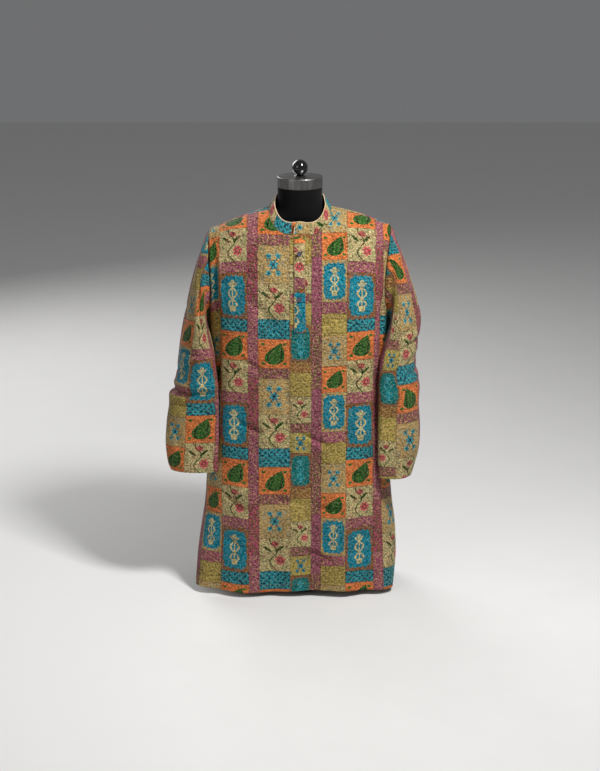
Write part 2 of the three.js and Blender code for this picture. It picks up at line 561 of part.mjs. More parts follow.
/** The padded torso with its shoulders and neck, and no limbs. */
function formTorso() {
  const points = [];
  const faces = [];
  for (const row of FORM_ROWS) {
    const roundness = smoothstep(row.z, ...FORM_POWER.changeZ);
    const power = lerp(FORM_POWER.torso, FORM_POWER.neck, roundness);
    for (let i = 0; i < FORM_SIDES; i += 1) {
      const angle = 2 * Math.PI * i / FORM_SIDES;
      const across = Math.sign(Math.sin(angle)) * Math.abs(Math.sin(angle)) ** (2 / power);
      const ahead = Math.sign(Math.cos(angle)) * Math.abs(Math.cos(angle)) ** (2 / power);
      const deep = ahead > 0 ? row.front : row.back;
      points.push(new THREE.Vector3(row.wide * across, row.midY - deep * ahead, row.z - row.drop * across ** 2));
    }
  }
  const top = FORM_ROWS.length - 1;
  const bottomCentre = points.push(new THREE.Vector3(0, FORM_ROWS[0].midY, FORM_ROWS[0].z)) - 1;
  const topCentre = points.push(new THREE.Vector3(0, FORM_ROWS[top].midY, FORM_ROWS[top].z)) - 1;
  for (let i = 0; i < FORM_SIDES; i += 1) {
    const next = (i + 1) % FORM_SIDES;
    for (let j = 0; j < top; j += 1) {
      const [a, b] = [j * FORM_SIDES + i, j * FORM_SIDES + next];
      faces.push(a, b, b + FORM_SIDES, a, b + FORM_SIDES, a + FORM_SIDES);
    }
    faces.push(bottomCentre, next, i, topCentre, top * FORM_SIDES + i, top * FORM_SIDES + next);
  }
  return meshGeometry(points, faces);
}

/** A turned solid about an upright axis, from a profile of [radius, height] points. */
function turned(profile, sides, y = 0) {
  const geometry = new THREE.LatheGeometry(profile.map(([r, z]) => new THREE.Vector2(r, z)), sides);
  return geometry.rotateX(Math.PI / 2).translate(0, y, 0);
}

/** The brushed steel disc that closes the neck. */
function neckCap() {
  const { radius, bottomZ, topZ, edge, y } = NECK_CAP;
  return turned([[0, bottomZ], [radius - edge / 2, bottomZ], [radius, bottomZ + edge / 2], [radius, topZ - edge],
    [radius - edge, topZ], [0, topZ]], NECK_CAP.sides, y);
}

/** The ball knob on its flared foot. */
function knob() {
  const { radius, centreZ, footRadius, stemRadius, steps } = KNOB;
  const low = NECK_CAP.topZ + GAP;
  const start = Math.PI - Math.asin(stemRadius / radius);
  const ball = Array.from({ length: steps + 1 }, (_, n) => {
    const angle = lerp(start, 0, n / steps);
    return [n === steps ? 0 : radius * Math.sin(angle), centreZ + radius * Math.cos(angle)];
  });
  const foot = [[0, low], [footRadius, low], [footRadius, low + 1.2], [lerp(stemRadius, footRadius, 0.4), low + 2.2]];
  return turned([...foot, ...ball], KNOB.sides, NECK_CAP.y);
}

function pole() {
  const [low, high] = [BASE.height + GAP, FORM_ROWS[0].z - GAP];
  return turned([[0, low], [POLE.radius, low], [POLE.radius, high], [0, high]], POLE.sides);
}

function base() {
  const { radius, height, edge } = BASE;
  const inner = radius - edge;
  const slope = edge * (1 - Math.SQRT1_2);
  return turned([[0, 0], [inner, 0], [radius - slope, slope], [radius, edge], [radius, height - edge],
    [radius - slope, height - slope], [inner, height], [0, height]], BASE.sides);
}

// ---------------------------------------------------------------- the whole part

/** Geometry whose equal points are one, without what the faces do not need. */
function clean(geometry) {
  geometry.deleteAttribute('uv');
  geometry.deleteAttribute('normal');
  const merged = mergeVertices(geometry, 1e-4);
  merged.computeVertexNormals();
  return merged;
}

const part = new THREE.Group();

function add(name, geometry, finish) {
  const mesh = new THREE.Mesh(clean(geometry), new THREE.MeshStandardMaterial(FINISHES[finish]));
  mesh.name = name;
  part.add(mesh);
}

add('front', panel('front'), 'body');
add('back', panel('back'), 'body');
add('sleeve_left', sleeve('left'), 'sleeve');
add('sleeve_right', sleeve('right'), 'sleeve');
add('collar', collar(), 'trim');
add('placket', placket(), 'trim');
BUTTON.zs.forEach((z, n) => add(`button_${n + 1}`, button(z), 'button'));
add('form_torso', formTorso(), 'form');
add('form_neck_cap', neckCap(), 'steel');
add('form_knob', knob(), 'gloss');
add('form_pole', pole(), 'coated');
add('form_base', base(), 'coated');

export default part;
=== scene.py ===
import logging
import math
from contextlib import contextmanager
from dataclasses import dataclass, field
from enum import Enum
from typing import Callable, Iterator, Optional, Sequence, Union

import bpy
import numpy as np
from bpy.types import ID, Material, Node, NodeSocket, NodeTree, Object
from mathutils import Matrix, Vector


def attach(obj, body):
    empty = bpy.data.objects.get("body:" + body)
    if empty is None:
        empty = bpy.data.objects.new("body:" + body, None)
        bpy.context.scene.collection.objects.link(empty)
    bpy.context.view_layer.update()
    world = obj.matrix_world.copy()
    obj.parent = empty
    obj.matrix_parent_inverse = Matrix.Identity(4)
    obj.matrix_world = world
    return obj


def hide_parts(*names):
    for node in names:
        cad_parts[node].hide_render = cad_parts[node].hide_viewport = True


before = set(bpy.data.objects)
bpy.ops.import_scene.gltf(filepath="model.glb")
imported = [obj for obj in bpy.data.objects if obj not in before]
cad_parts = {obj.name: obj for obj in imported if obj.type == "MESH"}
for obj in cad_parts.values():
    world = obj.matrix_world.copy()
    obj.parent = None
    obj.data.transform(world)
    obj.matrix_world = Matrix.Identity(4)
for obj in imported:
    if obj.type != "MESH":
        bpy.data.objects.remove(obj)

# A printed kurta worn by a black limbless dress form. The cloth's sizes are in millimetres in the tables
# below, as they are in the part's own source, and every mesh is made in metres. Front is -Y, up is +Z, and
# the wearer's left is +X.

LOG = logging.getLogger("kurta")
MM = 0.001
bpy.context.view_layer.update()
Array = Grid = np.ndarray


# ---- tables and curves

def hermite(xs: Array, ys: Array, at: Array) -> Array:
    """Read a smooth curve through a table's rows.

    Args:
        xs: The rows' places, rising.
        ys: The rows' values.
        at: The places to read.

    Returns:
        The value at each place.
    """
    at = np.clip(at, xs[0], xs[-1])
    i = np.clip(np.searchsorted(xs, at, side="right") - 1, 0, len(xs) - 2)
    secants = np.diff(ys) / np.diff(xs)
    slopes = np.concatenate([secants[:1], (secants[:-1] + secants[1:]) / 2, secants[-1:]])
    span = xs[i + 1] - xs[i]
    t = (at - xs[i]) / span
    s = 1 - t
    ends = ys[i] * (1 + 2 * t) * s * s + ys[i + 1] * (3 - 2 * t) * t * t
    return ends + span * t * s * (slopes[i] * s - slopes[i + 1] * t)


class Table:
    """A short table of sections with named columns, read along its first column."""

    def __init__(self, names: str, *rows: Sequence[float]) -> None:
        """Keep the rows under their columns' names, given in one string."""
        self.names = names.split()
        self.columns = {name: np.array(values, float) for name, values in zip(self.names, zip(*rows))}

    def at(self, name: str, where: Array) -> Array:
        """Value of the named column at places along the first column."""
        return hermite(self.columns[self.names[0]], self.columns[name], np.asarray(where, float))

    def row(self, where: Array) -> dict:
        """Values of every other column at those places, each standing as a column."""
        return {name: self.at(name, where)[:, None] for name in self.names[1:]}


def smoothstep(x: Array, low: float, high: float) -> Array:
    """Rise smoothly from 0 at low to 1 at high."""
    t = np.clip((x - low) / (high - low), 0, 1)
    return t * t * (3 - 2 * t)


def quarter(share: Array, power: float) -> Array:
    """The other coordinate, from 0 to 1, of a superellipse's quarter."""
    return (1 - np.minimum(np.abs(share), 1) ** power) ** (1 / power)


def soft_max(a: Array, b: Array, blend: float) -> Array:
    """The larger of two values, rounded where they are nearly equal."""
    near = np.maximum(blend - np.abs(a - b), 0) / blend
    return np.maximum(a, b) + near * near * blend / 4


def bell(x: Array, centre: float, breadth: float) -> Array:
    """A smooth rise to 1 at the centre."""
    return np.exp(-((x - centre) / breadth) ** 2)


def signed_power(x: Array, power: Array) -> Array:
    """A power of x that keeps its sign."""
    return np.sign(x) * np.abs(x) ** power


def unit(vectors: Grid) -> Grid:
    """The vectors at length 1."""
    return vectors / np.maximum(np.linalg.norm(vectors, axis=-1, keepdims=True), 1e-9)


# ---- the garment's cut

GAP = 0.3
CLOTH_WALL = 1.1
BAND_WALL = 2.0
SHOWN_BAND_WALL = 1.8
UNDERARM_Z, NECK_POINT_Z, HEM_Z, SLIT_TOP_Z = 755.0, 1040.0, 16.0, 217.0
NECK_HALF_WIDTH = 82.0
NECK_DEPTH = {"front": 84.0, "back": 62.0}
NECK_POWER = {"front": 3.4, "back": 2.0}
SHOULDER_FALL = {"left": 0.318, "right": 0.387}
NECK_RISE = 0.15
SHOULDER_BULGE = {"left": 5.5, "right": 3.0}
SECTION_POWER = 2.6
CHEST_POWER = {"front": 2.4, "back": 3.0}
PLACKET_END_Z = 735.0
PLACKET_BOX_Z = 765.0
BUTTON_ZS = (939.0, 825.0)

BODY_ROWS = Table(
    "z left right front back fore aft",
    (16, 252, 283, 126, 120, 74, 38),
    (52, 256, 281, 126, 119, 62, 32),
    (95, 260, 278, 125, 118, 46, 24),
    (140, 260, 273, 125, 117, 27, 14),
    (180, 258, 267, 124, 116, 11, 6),
    (217, 253, 261, 124, 114, 0, 0),
    (260, 248, 256, 123, 113, 0, 0),
    (315, 243, 252, 123, 111, 0, 0),
    (365, 236, 245, 122, 109, 0, 0),
    (430, 231, 238, 122, 107, 0, 0),
    (500, 229, 235, 121, 105, 0, 0),
    (570, 228, 234, 121, 104, 0, 0),
    (640, 228, 234, 121, 104, 0, 0),
    (695, 230, 236, 119.2, 106.2, 0, 0),
    (735, 231.4, 237.4, 118.3, 107.6, 0, 0),
    (755, 232, 238, 118, 108, 0, 0),
)
ARMHOLE_ROWS = Table(
    "rise left right share",
    (0, 232, 238, 1),
    (0.03, 229, 236, 0.993),
    (0.08, 226, 234, 0.98),
    (0.2, 221, 232, 0.957),
    (0.35, 219, 231, 0.947),
    (0.5, 221, 232.5, 0.942),
    (0.7, 226, 235, 0.936),
    (0.85, 231, 236.5, 0.932),
    (1, 236, 237, 0.93),
)
ARMHOLE_STEPS = 14
COLUMN_SHARES = (0.068, 0.18, 0.3, 0.42, 0.53, 0.63, 0.715, 0.79, 0.855, 0.908, 0.95, 0.98, 0.995, 1)
NECK_ANGLES = {"left": (9.1, 25, 41, 57, 73, 90), "right": (11.25, 26, 42, 58, 74, 90)}
COLUMNS = len(COLUMN_SHARES)
NECK_COLUMNS = len(NECK_ANGLES["left"])

# Across and height of a fold's upper end, then of its lower end, its breadth and its height.
MAIN_FOLDS = {
    "front": (
        (-205, 960, -208, 560, 15, -6),
        (-186, 800, -190, 340, 20, 3.5),
        (200, 800, 197, 420, 15, -4),
        (172, 700, 168, 300, 18, 3),
        (-128, 520, -152, 0, 34, 6),
        (-62, 430, -72, 0, 26, -4.5),
        (24, 560, 30, 0, 32, -5),
        (96, 500, 117, 0, 30, 6),
        (168, 380, 182, 0, 24, -5),
        (-215, 300, -226, 0, 22, -5),
    ),
    "back": (
        (-150, 800, -166, 0, 30, -6),
        (-84, 560, -100, 0, 32, 6),
        (-6, 760, 6, 0, 36, -5),
        (88, 600, 104, 0, 32, 7),
        (160, 820, 172, 0, 28, -6),
        (-190, 640, -212, 0, 20, 4),
    ),
}
FOLD_FADE_SHARE = 0.9
FOLD_GROWN = 0.7
FOLD_FADE_ABOVE_HEM = 70.0

SLEEVE_COLUMNS = "n outX outZ inX inZ midY halfY turn"
SLEEVE_ROWS = {
    "left": Table(
        SLEEVE_COLUMNS,
        (0, 238, 990, 232, 756, 0, 54, 0),
        (1, 250, 960, 236, 747, -3, 63, 4),
        (2, 263, 925, 232, 734, -6, 69, 8),
        (3, 280, 880, 226, 714, -10, 74, 12),
        (4, 298, 826, 220, 690, -15, 77, 15),
        (5, 313, 777, 216, 666, -19, 78, 17),
        (6, 318, 742, 213, 646, -22, 77, 18),
        (7, 314, 702, 212, 625, -25, 75, 18),
        (8, 307, 665, 212, 606, -28, 71, 17),
        (9, 307, 633, 211, 588, -31, 68, 16),
        (10, 314, 598, 211, 568, -35, 66, 16),
        (11, 318, 567, 211, 546, -38, 63, 15),
        (12, 316, 524, 211, 513, -42, 59, 15),
        (13, 319, 476, 211, 472, -46, 56, 14),
        (14, 320, 427, 211, 427, -51, 52, 13),
        (15, 316, 390, 211, 391, -54, 49, 12),
        (16, 308, 360, 212, 362, -56, 47, 10),
        (17, 299, 331, 213, 334, -57, 46, 8),
    ),
    "right": Table(
        SLEEVE_COLUMNS,
        (0, 239, 979, 239, 756, 0, 54, 0),
        (1, 251, 950, 243, 747, -3, 63, 4),
        (2, 263, 914, 239, 733, -6, 69, 8),
        (3, 278, 866, 233, 712, -10, 74, 11),
        (4, 292, 812, 229, 688, -15, 77, 14),
        (5, 303, 762, 226, 664, -19, 78, 16),
        (6, 312, 715, 225, 640, -24, 76, 17),
        (7, 319, 668, 223, 617, -29, 72, 17),
        (8, 324, 630, 222, 598, -33, 67, 17),
        (9, 328, 600, 221, 580, -37, 63, 17),
        (10, 331, 575, 220, 562, -40, 58, 16),
        (11, 336, 563, 221, 552, -42, 53, 16),
        (12, 346, 550, 220, 541, -44, 51, 16),
        (13, 347, 520, 220, 513, -48, 47, 15),
        (14, 354, 475, 220, 471, -53, 42, 15),
        (15, 358, 428, 220, 428, -58, 37, 14),
        (16, 357, 392, 221, 395, -60, 34, 13),
        (17, 353, 364, 221, 368, -61, 33, 12),
        (18, 346, 345, 222, 348, -61, 32, 11),
    ),
}
SLEEVE_CLEARANCE = 1.4
CUFF_DIP = 2.0
SIGN = {"left": 1.0, "right": -1.0}
FACING = {"front": -1.0, "back": 1.0}


def signed_table(middle: float, right: Sequence[float], left: Sequence[float]) -> Table:
    """A table over the columns of cloth, from the right side across the middle to the left."""
    numbers = range(-len(right), len(left) + 1)
    values = [-v for v in reversed(right)] + [middle] + list(left)
    return Table("k value", *zip(numbers, values))


SHARES = signed_table(-0.0065, COLUMN_SHARES, COLUMN_SHARES)
NECK_ANGLE = signed_table(-1.05, NECK_ANGLES["right"], NECK_ANGLES["left"])


def top_shares(side: str) -> list:
    """Where the columns of one side end at the top, as shares of the armhole's distance out."""
    tip = ARMHOLE_ROWS.columns[side][-1]
    neck = [NECK_HALF_WIDTH * math.sin(math.radians(a)) / tip for a in NECK_ANGLES[side]]
    beyond = COLUMNS - NECK_COLUMNS
    return neck + [neck[-1] + (1 - neck[-1]) * n / beyond for n in range(1, beyond + 1)]


TOP_SHARES = signed_table(-0.0064, top_shares("right"), top_shares("left"))


def by_side(x: Array, table: Table, where: Array) -> Array:
    """Read a table's left or right column, whichever side of the middle x is on."""
    return np.where(x >= 0, table.at("left", where), table.at("right", where))


def ridge_z(x: Array) -> Array:
    """Height of the line of the shoulder seams above a place across the body."""
    out = np.abs(x) - NECK_HALF_WIDTH
    left = x >= 0
    fall = np.where(out < 0, NECK_RISE, np.where(left, SHOULDER_FALL["left"], SHOULDER_FALL["right"]))
    length = np.where(left, ARMHOLE_ROWS.columns["left"][-1], ARMHOLE_ROWS.columns["right"][-1]) - NECK_HALF_WIDTH
    bulge = np.where(left, SHOULDER_BULGE["left"], SHOULDER_BULGE["right"])
    return NECK_POINT_Z - out * fall + bulge * np.sin(np.pi * np.clip(out / length, 0, 1))


def lower_points(half: str, k: Array, z: Array) -> Grid:
    """Points of a panel below the underarm, at columns k and heights z."""
    share = SHARES.at("value", k)
    deep, apart = BODY_ROWS.at(half, z), BODY_ROWS.at("fore" if half == "front" else "aft", z)
    y = FACING[half] * (apart + (deep - apart) * quarter(share, SECTION_POWER))
    return np.stack([share * by_side(share, BODY_ROWS, z), y, z + 0 * k], axis=-1)


def upper_points(half: str, k: Array, step: Array) -> Grid:
    """Points of a panel above the underarm, at columns k and steps towards its top edge."""
    power = CHEST_POWER[half]
    rise = (1 - np.cos(np.pi * step / ARMHOLE_STEPS)) / 2
    blend = smoothstep(rise, 0, 1)
    share = SHARES.at("value", k) * (1 - blend) + TOP_SHARES.at("value", k) * blend
    x = share * by_side(share, ARMHOLE_ROWS, rise)
    deep = BODY_ROWS.at(half, UNDERARM_Z) * quarter(share * ARMHOLE_ROWS.at("share", rise), SECTION_POWER)
    neck_y = NECK_DEPTH[half] * quarter(np.sin(np.radians(NECK_ANGLE.at("value", k))), NECK_POWER[half])
    to_neck = np.arccos(np.clip(neck_y / np.maximum(deep, 1), 0, 1) ** (power / 2))
    top = np.where(np.abs(k) >= NECK_COLUMNS, np.pi / 2, to_neck)
    angle = np.arcsin(np.clip(rise, 0, 1) ** (power / 2)) * top / (np.pi / 2)
    y = deep * np.maximum(np.cos(angle), 0) ** (2 / power)
    z = UNDERARM_Z + (ridge_z(x) - UNDERARM_Z) * np.sin(angle) ** (2 / power)
    return np.stack([x, FACING[half] * y, z], axis=-1)


def main_folds(half: str, points: Grid, share: Array) -> Array:
    """Height of a panel's main folds at its points. A fold that reaches the hem grows towards it."""
    x, z = points[..., 0], points[..., 2]
    total = np.zeros_like(x)
    for x0, z0, x1, z1, breadth, height in MAIN_FOLDS[half]:
        t = np.clip((z0 - z) / (z0 - z1), 0, 1)
        growth = smoothstep(t, 0, FOLD_GROWN) if z1 == 0 else np.sin(np.pi * t)
        total += height * growth * bell(x, x0 + (x1 - x0) * t, breadth)
    at_hem = 1 - smoothstep(z, HEM_Z, HEM_Z + FOLD_FADE_ABOVE_HEM)
    inner = 1 - smoothstep(share, FOLD_FADE_SHARE - 0.2, FOLD_FADE_SHARE)
    return total * np.maximum(inner, at_hem * (1 - share))


def body_side_x(side: str, y: Array, z: Array) -> Array:
    """Half-width of the body at a depth and height, which a sleeve hangs against."""
    low = np.minimum(z, UNDERARM_Z)
    deep = np.where(y < 0, BODY_ROWS.at("front", low), BODY_ROWS.at("back", low))
    return BODY_ROWS.at(side, low) * quarter(y / deep, SECTION_POWER)


def grid_normals(points: Grid, wrap: bool, flip: bool) -> Grid:
    """Unit normals of a grid of points.

    Args:
        points: Rows by columns by three.
        wrap: Whether the last column is next to the first.
        flip: Whether the normals point the other way.

    Returns:
        An array of the same shape.
    """
    if wrap:
        across = np.roll(points, -1, axis=1) - np.roll(points, 1, axis=1)
    else:
        across = np.gradient(points, axis=1)
    normals = unit(np.cross(across, np.gradient(points, axis=0)))
    return -normals if flip else normals


def run_lengths(points: Grid, axis: int) -> Array:
    """Distance along a line, or along a grid's rows or columns, from the first point."""
    steps = np.linalg.norm(np.diff(points, axis=axis), axis=-1)
    return np.insert(np.cumsum(steps, axis=axis), 0, 0, axis=axis)


# ---- creases

SHARPNESS = 1.3
CREASE_ENDS_POWER = 0.8


class Profile(Enum):
    """How a crease looks across its length."""

    SOFT = "soft"
    SHARP = "sharp"


@dataclass(frozen=True)
class Crease:
    """A trough or ridge on a piece of cloth, in millimetres of the flat cloth.

    The ends are (across, up): across from the piece's middle line, up from its lower edge. A trough's
    height is negative, and bow bends the line sideways.
    """

    start: tuple
    end: tuple
    breadth: float
    height: float
    bow: float = 0.0
    profile: Profile = Profile.SOFT

    def heights(self, u: Array, v: Array) -> Array:
        """Height at places of the flat cloth."""
        along = np.array(self.end, float) - self.start
        length = float(np.hypot(*along))
        du, dv = u - self.start[0], v - self.start[1]
        t = np.clip((du * along[0] + dv * along[1]) / length ** 2, 0, 1)
        away = (dv * along[0] - du * along[1]) / length - self.bow * np.sin(np.pi * t)
        beyond = np.hypot(du, dv) > 3 * length
        across = np.exp(-np.abs(away) / self.breadth * SHARPNESS) if self.profile is Profile.SHARP \
            else bell(away, 0, self.breadth)
        return np.where(beyond, 0, self.height * np.sin(np.pi * t) ** CREASE_ENDS_POWER * across)


def crease_table(*rows: tuple) -> tuple:
    """Creases from rows of both ends' places, the breadth, the height, the bow and perhaps the profile."""
    return tuple(Crease(row[:2], row[2:4], *row[4:]) for row in rows)


def creased(creases: Sequence[Crease], u: Array, v: Array) -> Array:
    """Sum of creases at places of the flat cloth."""
    return sum((c.heights(u, v) for c in creases), np.zeros_like(u))


def unevenness(u: Array, v: Array, phase: float) -> Array:
    """The slight waviness of cloth that has been folded, packed and hung."""
    slow = np.sin(u / 31 + 1.7 * np.sin(v / 83 + phase)) * np.sin(v / 47 + phase * 2.1)
    fine = np.sin(u / 13.7 + 2.1 * np.sin(v / 29 + phase * 3)) * np.sin(v / 18.3 + 1.3 * np.sin(u / 37))
    return 0.55 * slow + 0.28 * fine


# ---- meshes

def activate(piece: Object) -> None:
    """Make a piece the only selected object and the active one."""
    bpy.ops.object.select_all(action="DESELECT")
    piece.select_set(True)
    bpy.context.view_layer.objects.active = piece


@contextmanager
def editing(piece: Object) -> Iterator[None]:
    """Edit mode on a piece while the block runs."""
    activate(piece)
    bpy.ops.object.mode_set(mode="EDIT")
    yield
    bpy.ops.object.mode_set(mode="OBJECT")


def apply_modifiers(piece: Object) -> None:
    """Apply every modifier of a piece to its mesh."""
    activate(piece)
    for modifier in list(piece.modifiers):
        bpy.ops.object.modifier_apply(modifier=modifier.name)


def linked(name: str, data: ID) -> Object:
    """A new object in the scene."""
    piece = bpy.data.objects.new(name, data)
    bpy.context.collection.objects.link(piece)
    return piece


def quads(rows: int, columns: int, wrap: bool) -> list:
    """Numbers of a grid's points at the four corners of its faces, row by row."""
    j, i = np.meshgrid(np.arange(rows - 1), np.arange(columns if wrap else columns - 1), indexing="ij")
    after = (i + 1) % columns
    return [j * columns + i, j * columns + after, (j + 1) * columns + after, (j + 1) * columns + i]


def joined(corners: list) -> Array:
    """Corners as one row of four numbers to a face."""
    return np.stack(corners, axis=-1).reshape(-1, 4)


def mesh_piece(name: str, vertices: Sequence, faces: Sequence) -> Object:
    """A new smooth-shaded piece from vertices in metres and faces."""
    mesh = bpy.data.meshes.new(name)
    mesh.from_pydata(vertices, [], faces)
    mesh.update()
    mesh.shade_smooth()
    return linked(name, mesh)


@dataclass
class ClothGrid:
    """A piece of cloth as a grid of points with its flat cloth's coordinates.

    Attributes:
        name: The piece's name.
        points: Its outer points, rows from the lower edge up, in millimetres.
        flat: Distance across and up on the flat cloth, in millimetres, with one more column on a tube.
        wrap: Whether it is a tube.
        flip: Whether its columns run the other way round.
        edge_highlight_faces: Which of its faces carry the third finish, a pale painted highlight along a folded edge.
    """

    name: str
    points: Grid
    flat: Grid
    wrap: bool = False
    flip: bool = False
    edge_highlight_faces: Optional[Array] = None

    def normals(self) -> Grid:
        """Unit normals of the outer points."""
        return grid_normals(self.points, self.wrap, self.flip)

    def area(self) -> float:
        """Area of the outer points' faces, in square metres."""
        points = np.concatenate([self.points, self.points[:, :1]], axis=1) if self.wrap else self.points
        a = points[1:, 1:] - points[:-1, :-1]
        b = points[1:, :-1] - points[:-1, 1:]
        return float(np.linalg.norm(np.cross(a, b), axis=-1).sum() / 2) * MM * MM

    def build(self, wall: float, finishes: Sequence[Material]) -> Object:
        """Make the piece: a wall of cloth with its pattern's coordinates.

        Args:
            wall: The cloth's thickness, in millimetres.
            finishes: The materials of its face and of its reverse, and on a band a third one: a pale painted highlight
                for its folded edges and rim.

        Returns:
            The finished piece.
        """
        order = slice(None, None, -1 if self.flip else 1)
        faces = joined(quads(*self.points.shape[:2], self.wrap)[order])
        piece = mesh_piece(self.name, (self.points * MM).reshape(-1, 3).tolist(), faces.tolist())
        layer = piece.data.uv_layers.new(name="cloth")
        flat = (self.flat * MM).reshape(-1, 2)[joined(quads(*self.flat.shape[:2], False)[order]).ravel()]
        layer.data.foreach_set("uv", flat.astype(np.float32).ravel())
        for finish in finishes:
            piece.data.materials.append(finish)
        # Faces along a folded edge take the third finish, a pale painted highlight.
        if self.edge_highlight_faces is not None:
            piece.data.polygons.foreach_set("material_index", 2 * self.edge_highlight_faces.astype(np.int32).ravel())
        solid = piece.modifiers.new("wall", "SOLIDIFY")
        solid.thickness, solid.offset = wall * MM, -1
        # On a band the rim faces take that third finish as well: painted highlight along its edges.
        solid.material_offset, solid.material_offset_rim = min(len(finishes) - 1, 1), 2 * (len(finishes) > 2)
        apply_modifiers(piece)
        return piece


# ---- finishes

def operation(name: str, turned: bool = False) -> Callable:
    """A method of Value that adds a Math node, with its two values turned round or not."""
    def method(self: "Value", other: object = 0.0) -> "Value":
        """Output of the node."""
        return self.graph.math(name, *((other, self) if turned else (self, other)))
    return method


class Value:
    """A node's output in a graph, which takes part in sums; & is the smaller and | the larger of two."""

    def __init__(self, graph: "Graph", socket: NodeSocket) -> None:
        """Keep the output and its graph."""
        self.graph, self.socket = graph, socket

    __add__ = __radd__ = operation("ADD")
    __mul__ = __rmul__ = operation("MULTIPLY")
    __sub__, __rsub__ = operation("SUBTRACT"), operation("SUBTRACT", turned=True)
    __lt__, __gt__ = operation("LESS_THAN"), operation("LESS_THAN", turned=True)
    __truediv__, __pow__ = operation("DIVIDE"), operation("POWER")
    __and__, __or__ = operation("MINIMUM"), operation("MAXIMUM")
    __abs__ = operation("ABSOLUTE")


class Graph:
    """A node tree with short calls for the nodes that the finishes need."""

    def __init__(self, tree: NodeTree) -> None:
        """Work in this tree."""
        self.tree = tree

    def node(self, kind: str, inputs: Optional[dict] = None, **settings) -> Node:
        """Add a node; an input's value is a number, a tuple or another node's output."""
        node = self.tree.nodes.new(kind)
        for name, value in settings.items():
            setattr(node, name, value)
        for key, value in (inputs or {}).items():
            self.put(node.inputs[key], value)
        return node

    def out(self, *of, at: int = 0, **settings) -> Value:
        """One output of a new node."""
        return Value(self, self.node(*of, **settings).outputs[at])

    def put(self, socket: NodeSocket, value: object) -> None:
        """Set a socket, or link it where the value is an output."""
        if isinstance(value, Value):
            self.tree.links.new(value.socket, socket)
        else:
            socket.default_value = value

    def math(self, operation: str, *values: object, clamp: bool = False) -> Value:
        """Output of a Math node."""
        return self.out("ShaderNodeMath", dict(enumerate(values)), operation=operation, use_clamp=clamp)

    def length(self, a: Value, b: Value) -> Value:
        """Length of the pair a, b."""
        return self.math("SQRT", a * a + b * b)

    def angle(self, a: Value, b: Value) -> Value:
        """Angle whose tangent is a over b."""
        return self.math("ARCTAN2", a, b)

    def wave(self, a: Value, times: float, phase: float = 0.0) -> Value:
        """Sine of a number of times a."""
        return self.math("SINE", self.math("MULTIPLY_ADD", a, times, phase))

    def within(self, value: Value, centre: float, half: float) -> Value:
        """1 where a value is nearer than half to the centre."""
        return abs(value - centre) < half

    def cell(self, value: Value, size: float) -> Value:
        """Distance from the middle of a repeated cell, from -0.5 to 0.5."""
        return self.math("FRACT", value / size) - 0.5

    def mix(self, factor: object, a: object, b: object, blend: str = "MIX") -> Value:
        """Mix two colours."""
        return self.out("ShaderNodeMix", {0: factor, 6: a, 7: b}, at=2, data_type="RGBA", blend_type=blend)

    def noise(self, vector: Value, scale: float, detail: float = 3.0, rough: float = 0.5) -> Value:
        """Value of a noise."""
        return self.out("ShaderNodeTexNoise", {"Vector": vector, "Scale": scale, "Detail": detail, "Roughness": rough})

    def moved(self, operation: str, vector: Value, by: tuple) -> Value:
        """A vector with another added to it or multiplied with it."""
        return self.out("ShaderNodeVectorMath", {0: vector, 1: by}, operation=operation)

    def steps(self, value: Value, stops: Sequence[tuple]) -> Value:
        """Colour of the last stop below a value between 0 and 1."""
        node = self.node("ShaderNodeValToRGB", {0: value})
        ramp = node.color_ramp
        ramp.interpolation = "CONSTANT"
        for index, (place, colour) in enumerate(stops):
            stop = ramp.elements[index] if index < 2 else ramp.elements.new(place)
            stop.position = place
            stop.color = (*colour, 1)
        return Value(self, node.outputs[0])

    def parts(self, colour: Value) -> list:
        """The three values of a colour or vector."""
        return [Value(self, part) for part in self.node("ShaderNodeSeparateXYZ", {0: colour}).outputs[:3]]

    def vector(self, x: Value, y: Value, z: object = 0.0) -> Value:
        """Vector of three values."""
        return self.out("ShaderNodeCombineXYZ", {0: x, 1: y, 2: z})

    def bump(self, height: Value, distance: float) -> Value:
        """Normal of a height, whose unit is a distance in metres."""
        return self.out("ShaderNodeBump", {"Height": height, "Distance": distance, "Strength": 1.0})


def srgb(red: float, green: float, blue: float) -> tuple:
    """Linear colour of an sRGB one given from 0 to 255."""
    return tuple(c / 12.92 if c <= 0.04045 else ((c + 0.055) / 1.055) ** 2.4
                 for c in (red / 255, green / 255, blue / 255))


def rgba(*colour: float) -> tuple:
    """Linear RGBA of an sRGB colour."""
    return (*srgb(*colour), 1)


def new_finish(name: str) -> tuple:
    """A new material, its graph and its shader."""
    material = bpy.data.materials.new(name)
    material.use_nodes = True
    return material, Graph(material.node_tree), material.node_tree.nodes["Principled BSDF"]


class Motif(Enum):
    """What a block of the print holds."""

    PAISLEY = 1
    SPRIG = 2
    MEDALLION = 3
    ROSETTE = 4
    LATTICE = 5
    VINE = 6
    BORDER = 7


@dataclass(frozen=True)
class Block:
    """A block of the patchwork print: its height in centimetres, its motif and its colours."""

    height: float
    motif: Motif
    ground: tuple
    figure: tuple
    detail: tuple


TEAL, BLUE, ORANGE = (0, 128, 126), (0, 144, 166), (248, 134, 72)
MUSTARD, CREAM, PLUM = (198, 174, 88), (226, 208, 148), (160, 72, 104)
PINK, LEAF, RUST, NIGHT = (226, 92, 104), (30, 76, 16), (158, 100, 58), (0, 54, 84)
TAN, AQUA, OLIVE, MAUVE = (206, 170, 108), (52, 172, 184), (112, 100, 56), (190, 102, 130)
GREEN, FERN = (58, 118, 44), (16, 46, 14)


@dataclass(frozen=True)
class PrintColumn:
    """A column of the print: its width in centimetres and its blocks from the bottom up."""

    width: float
    blocks: tuple


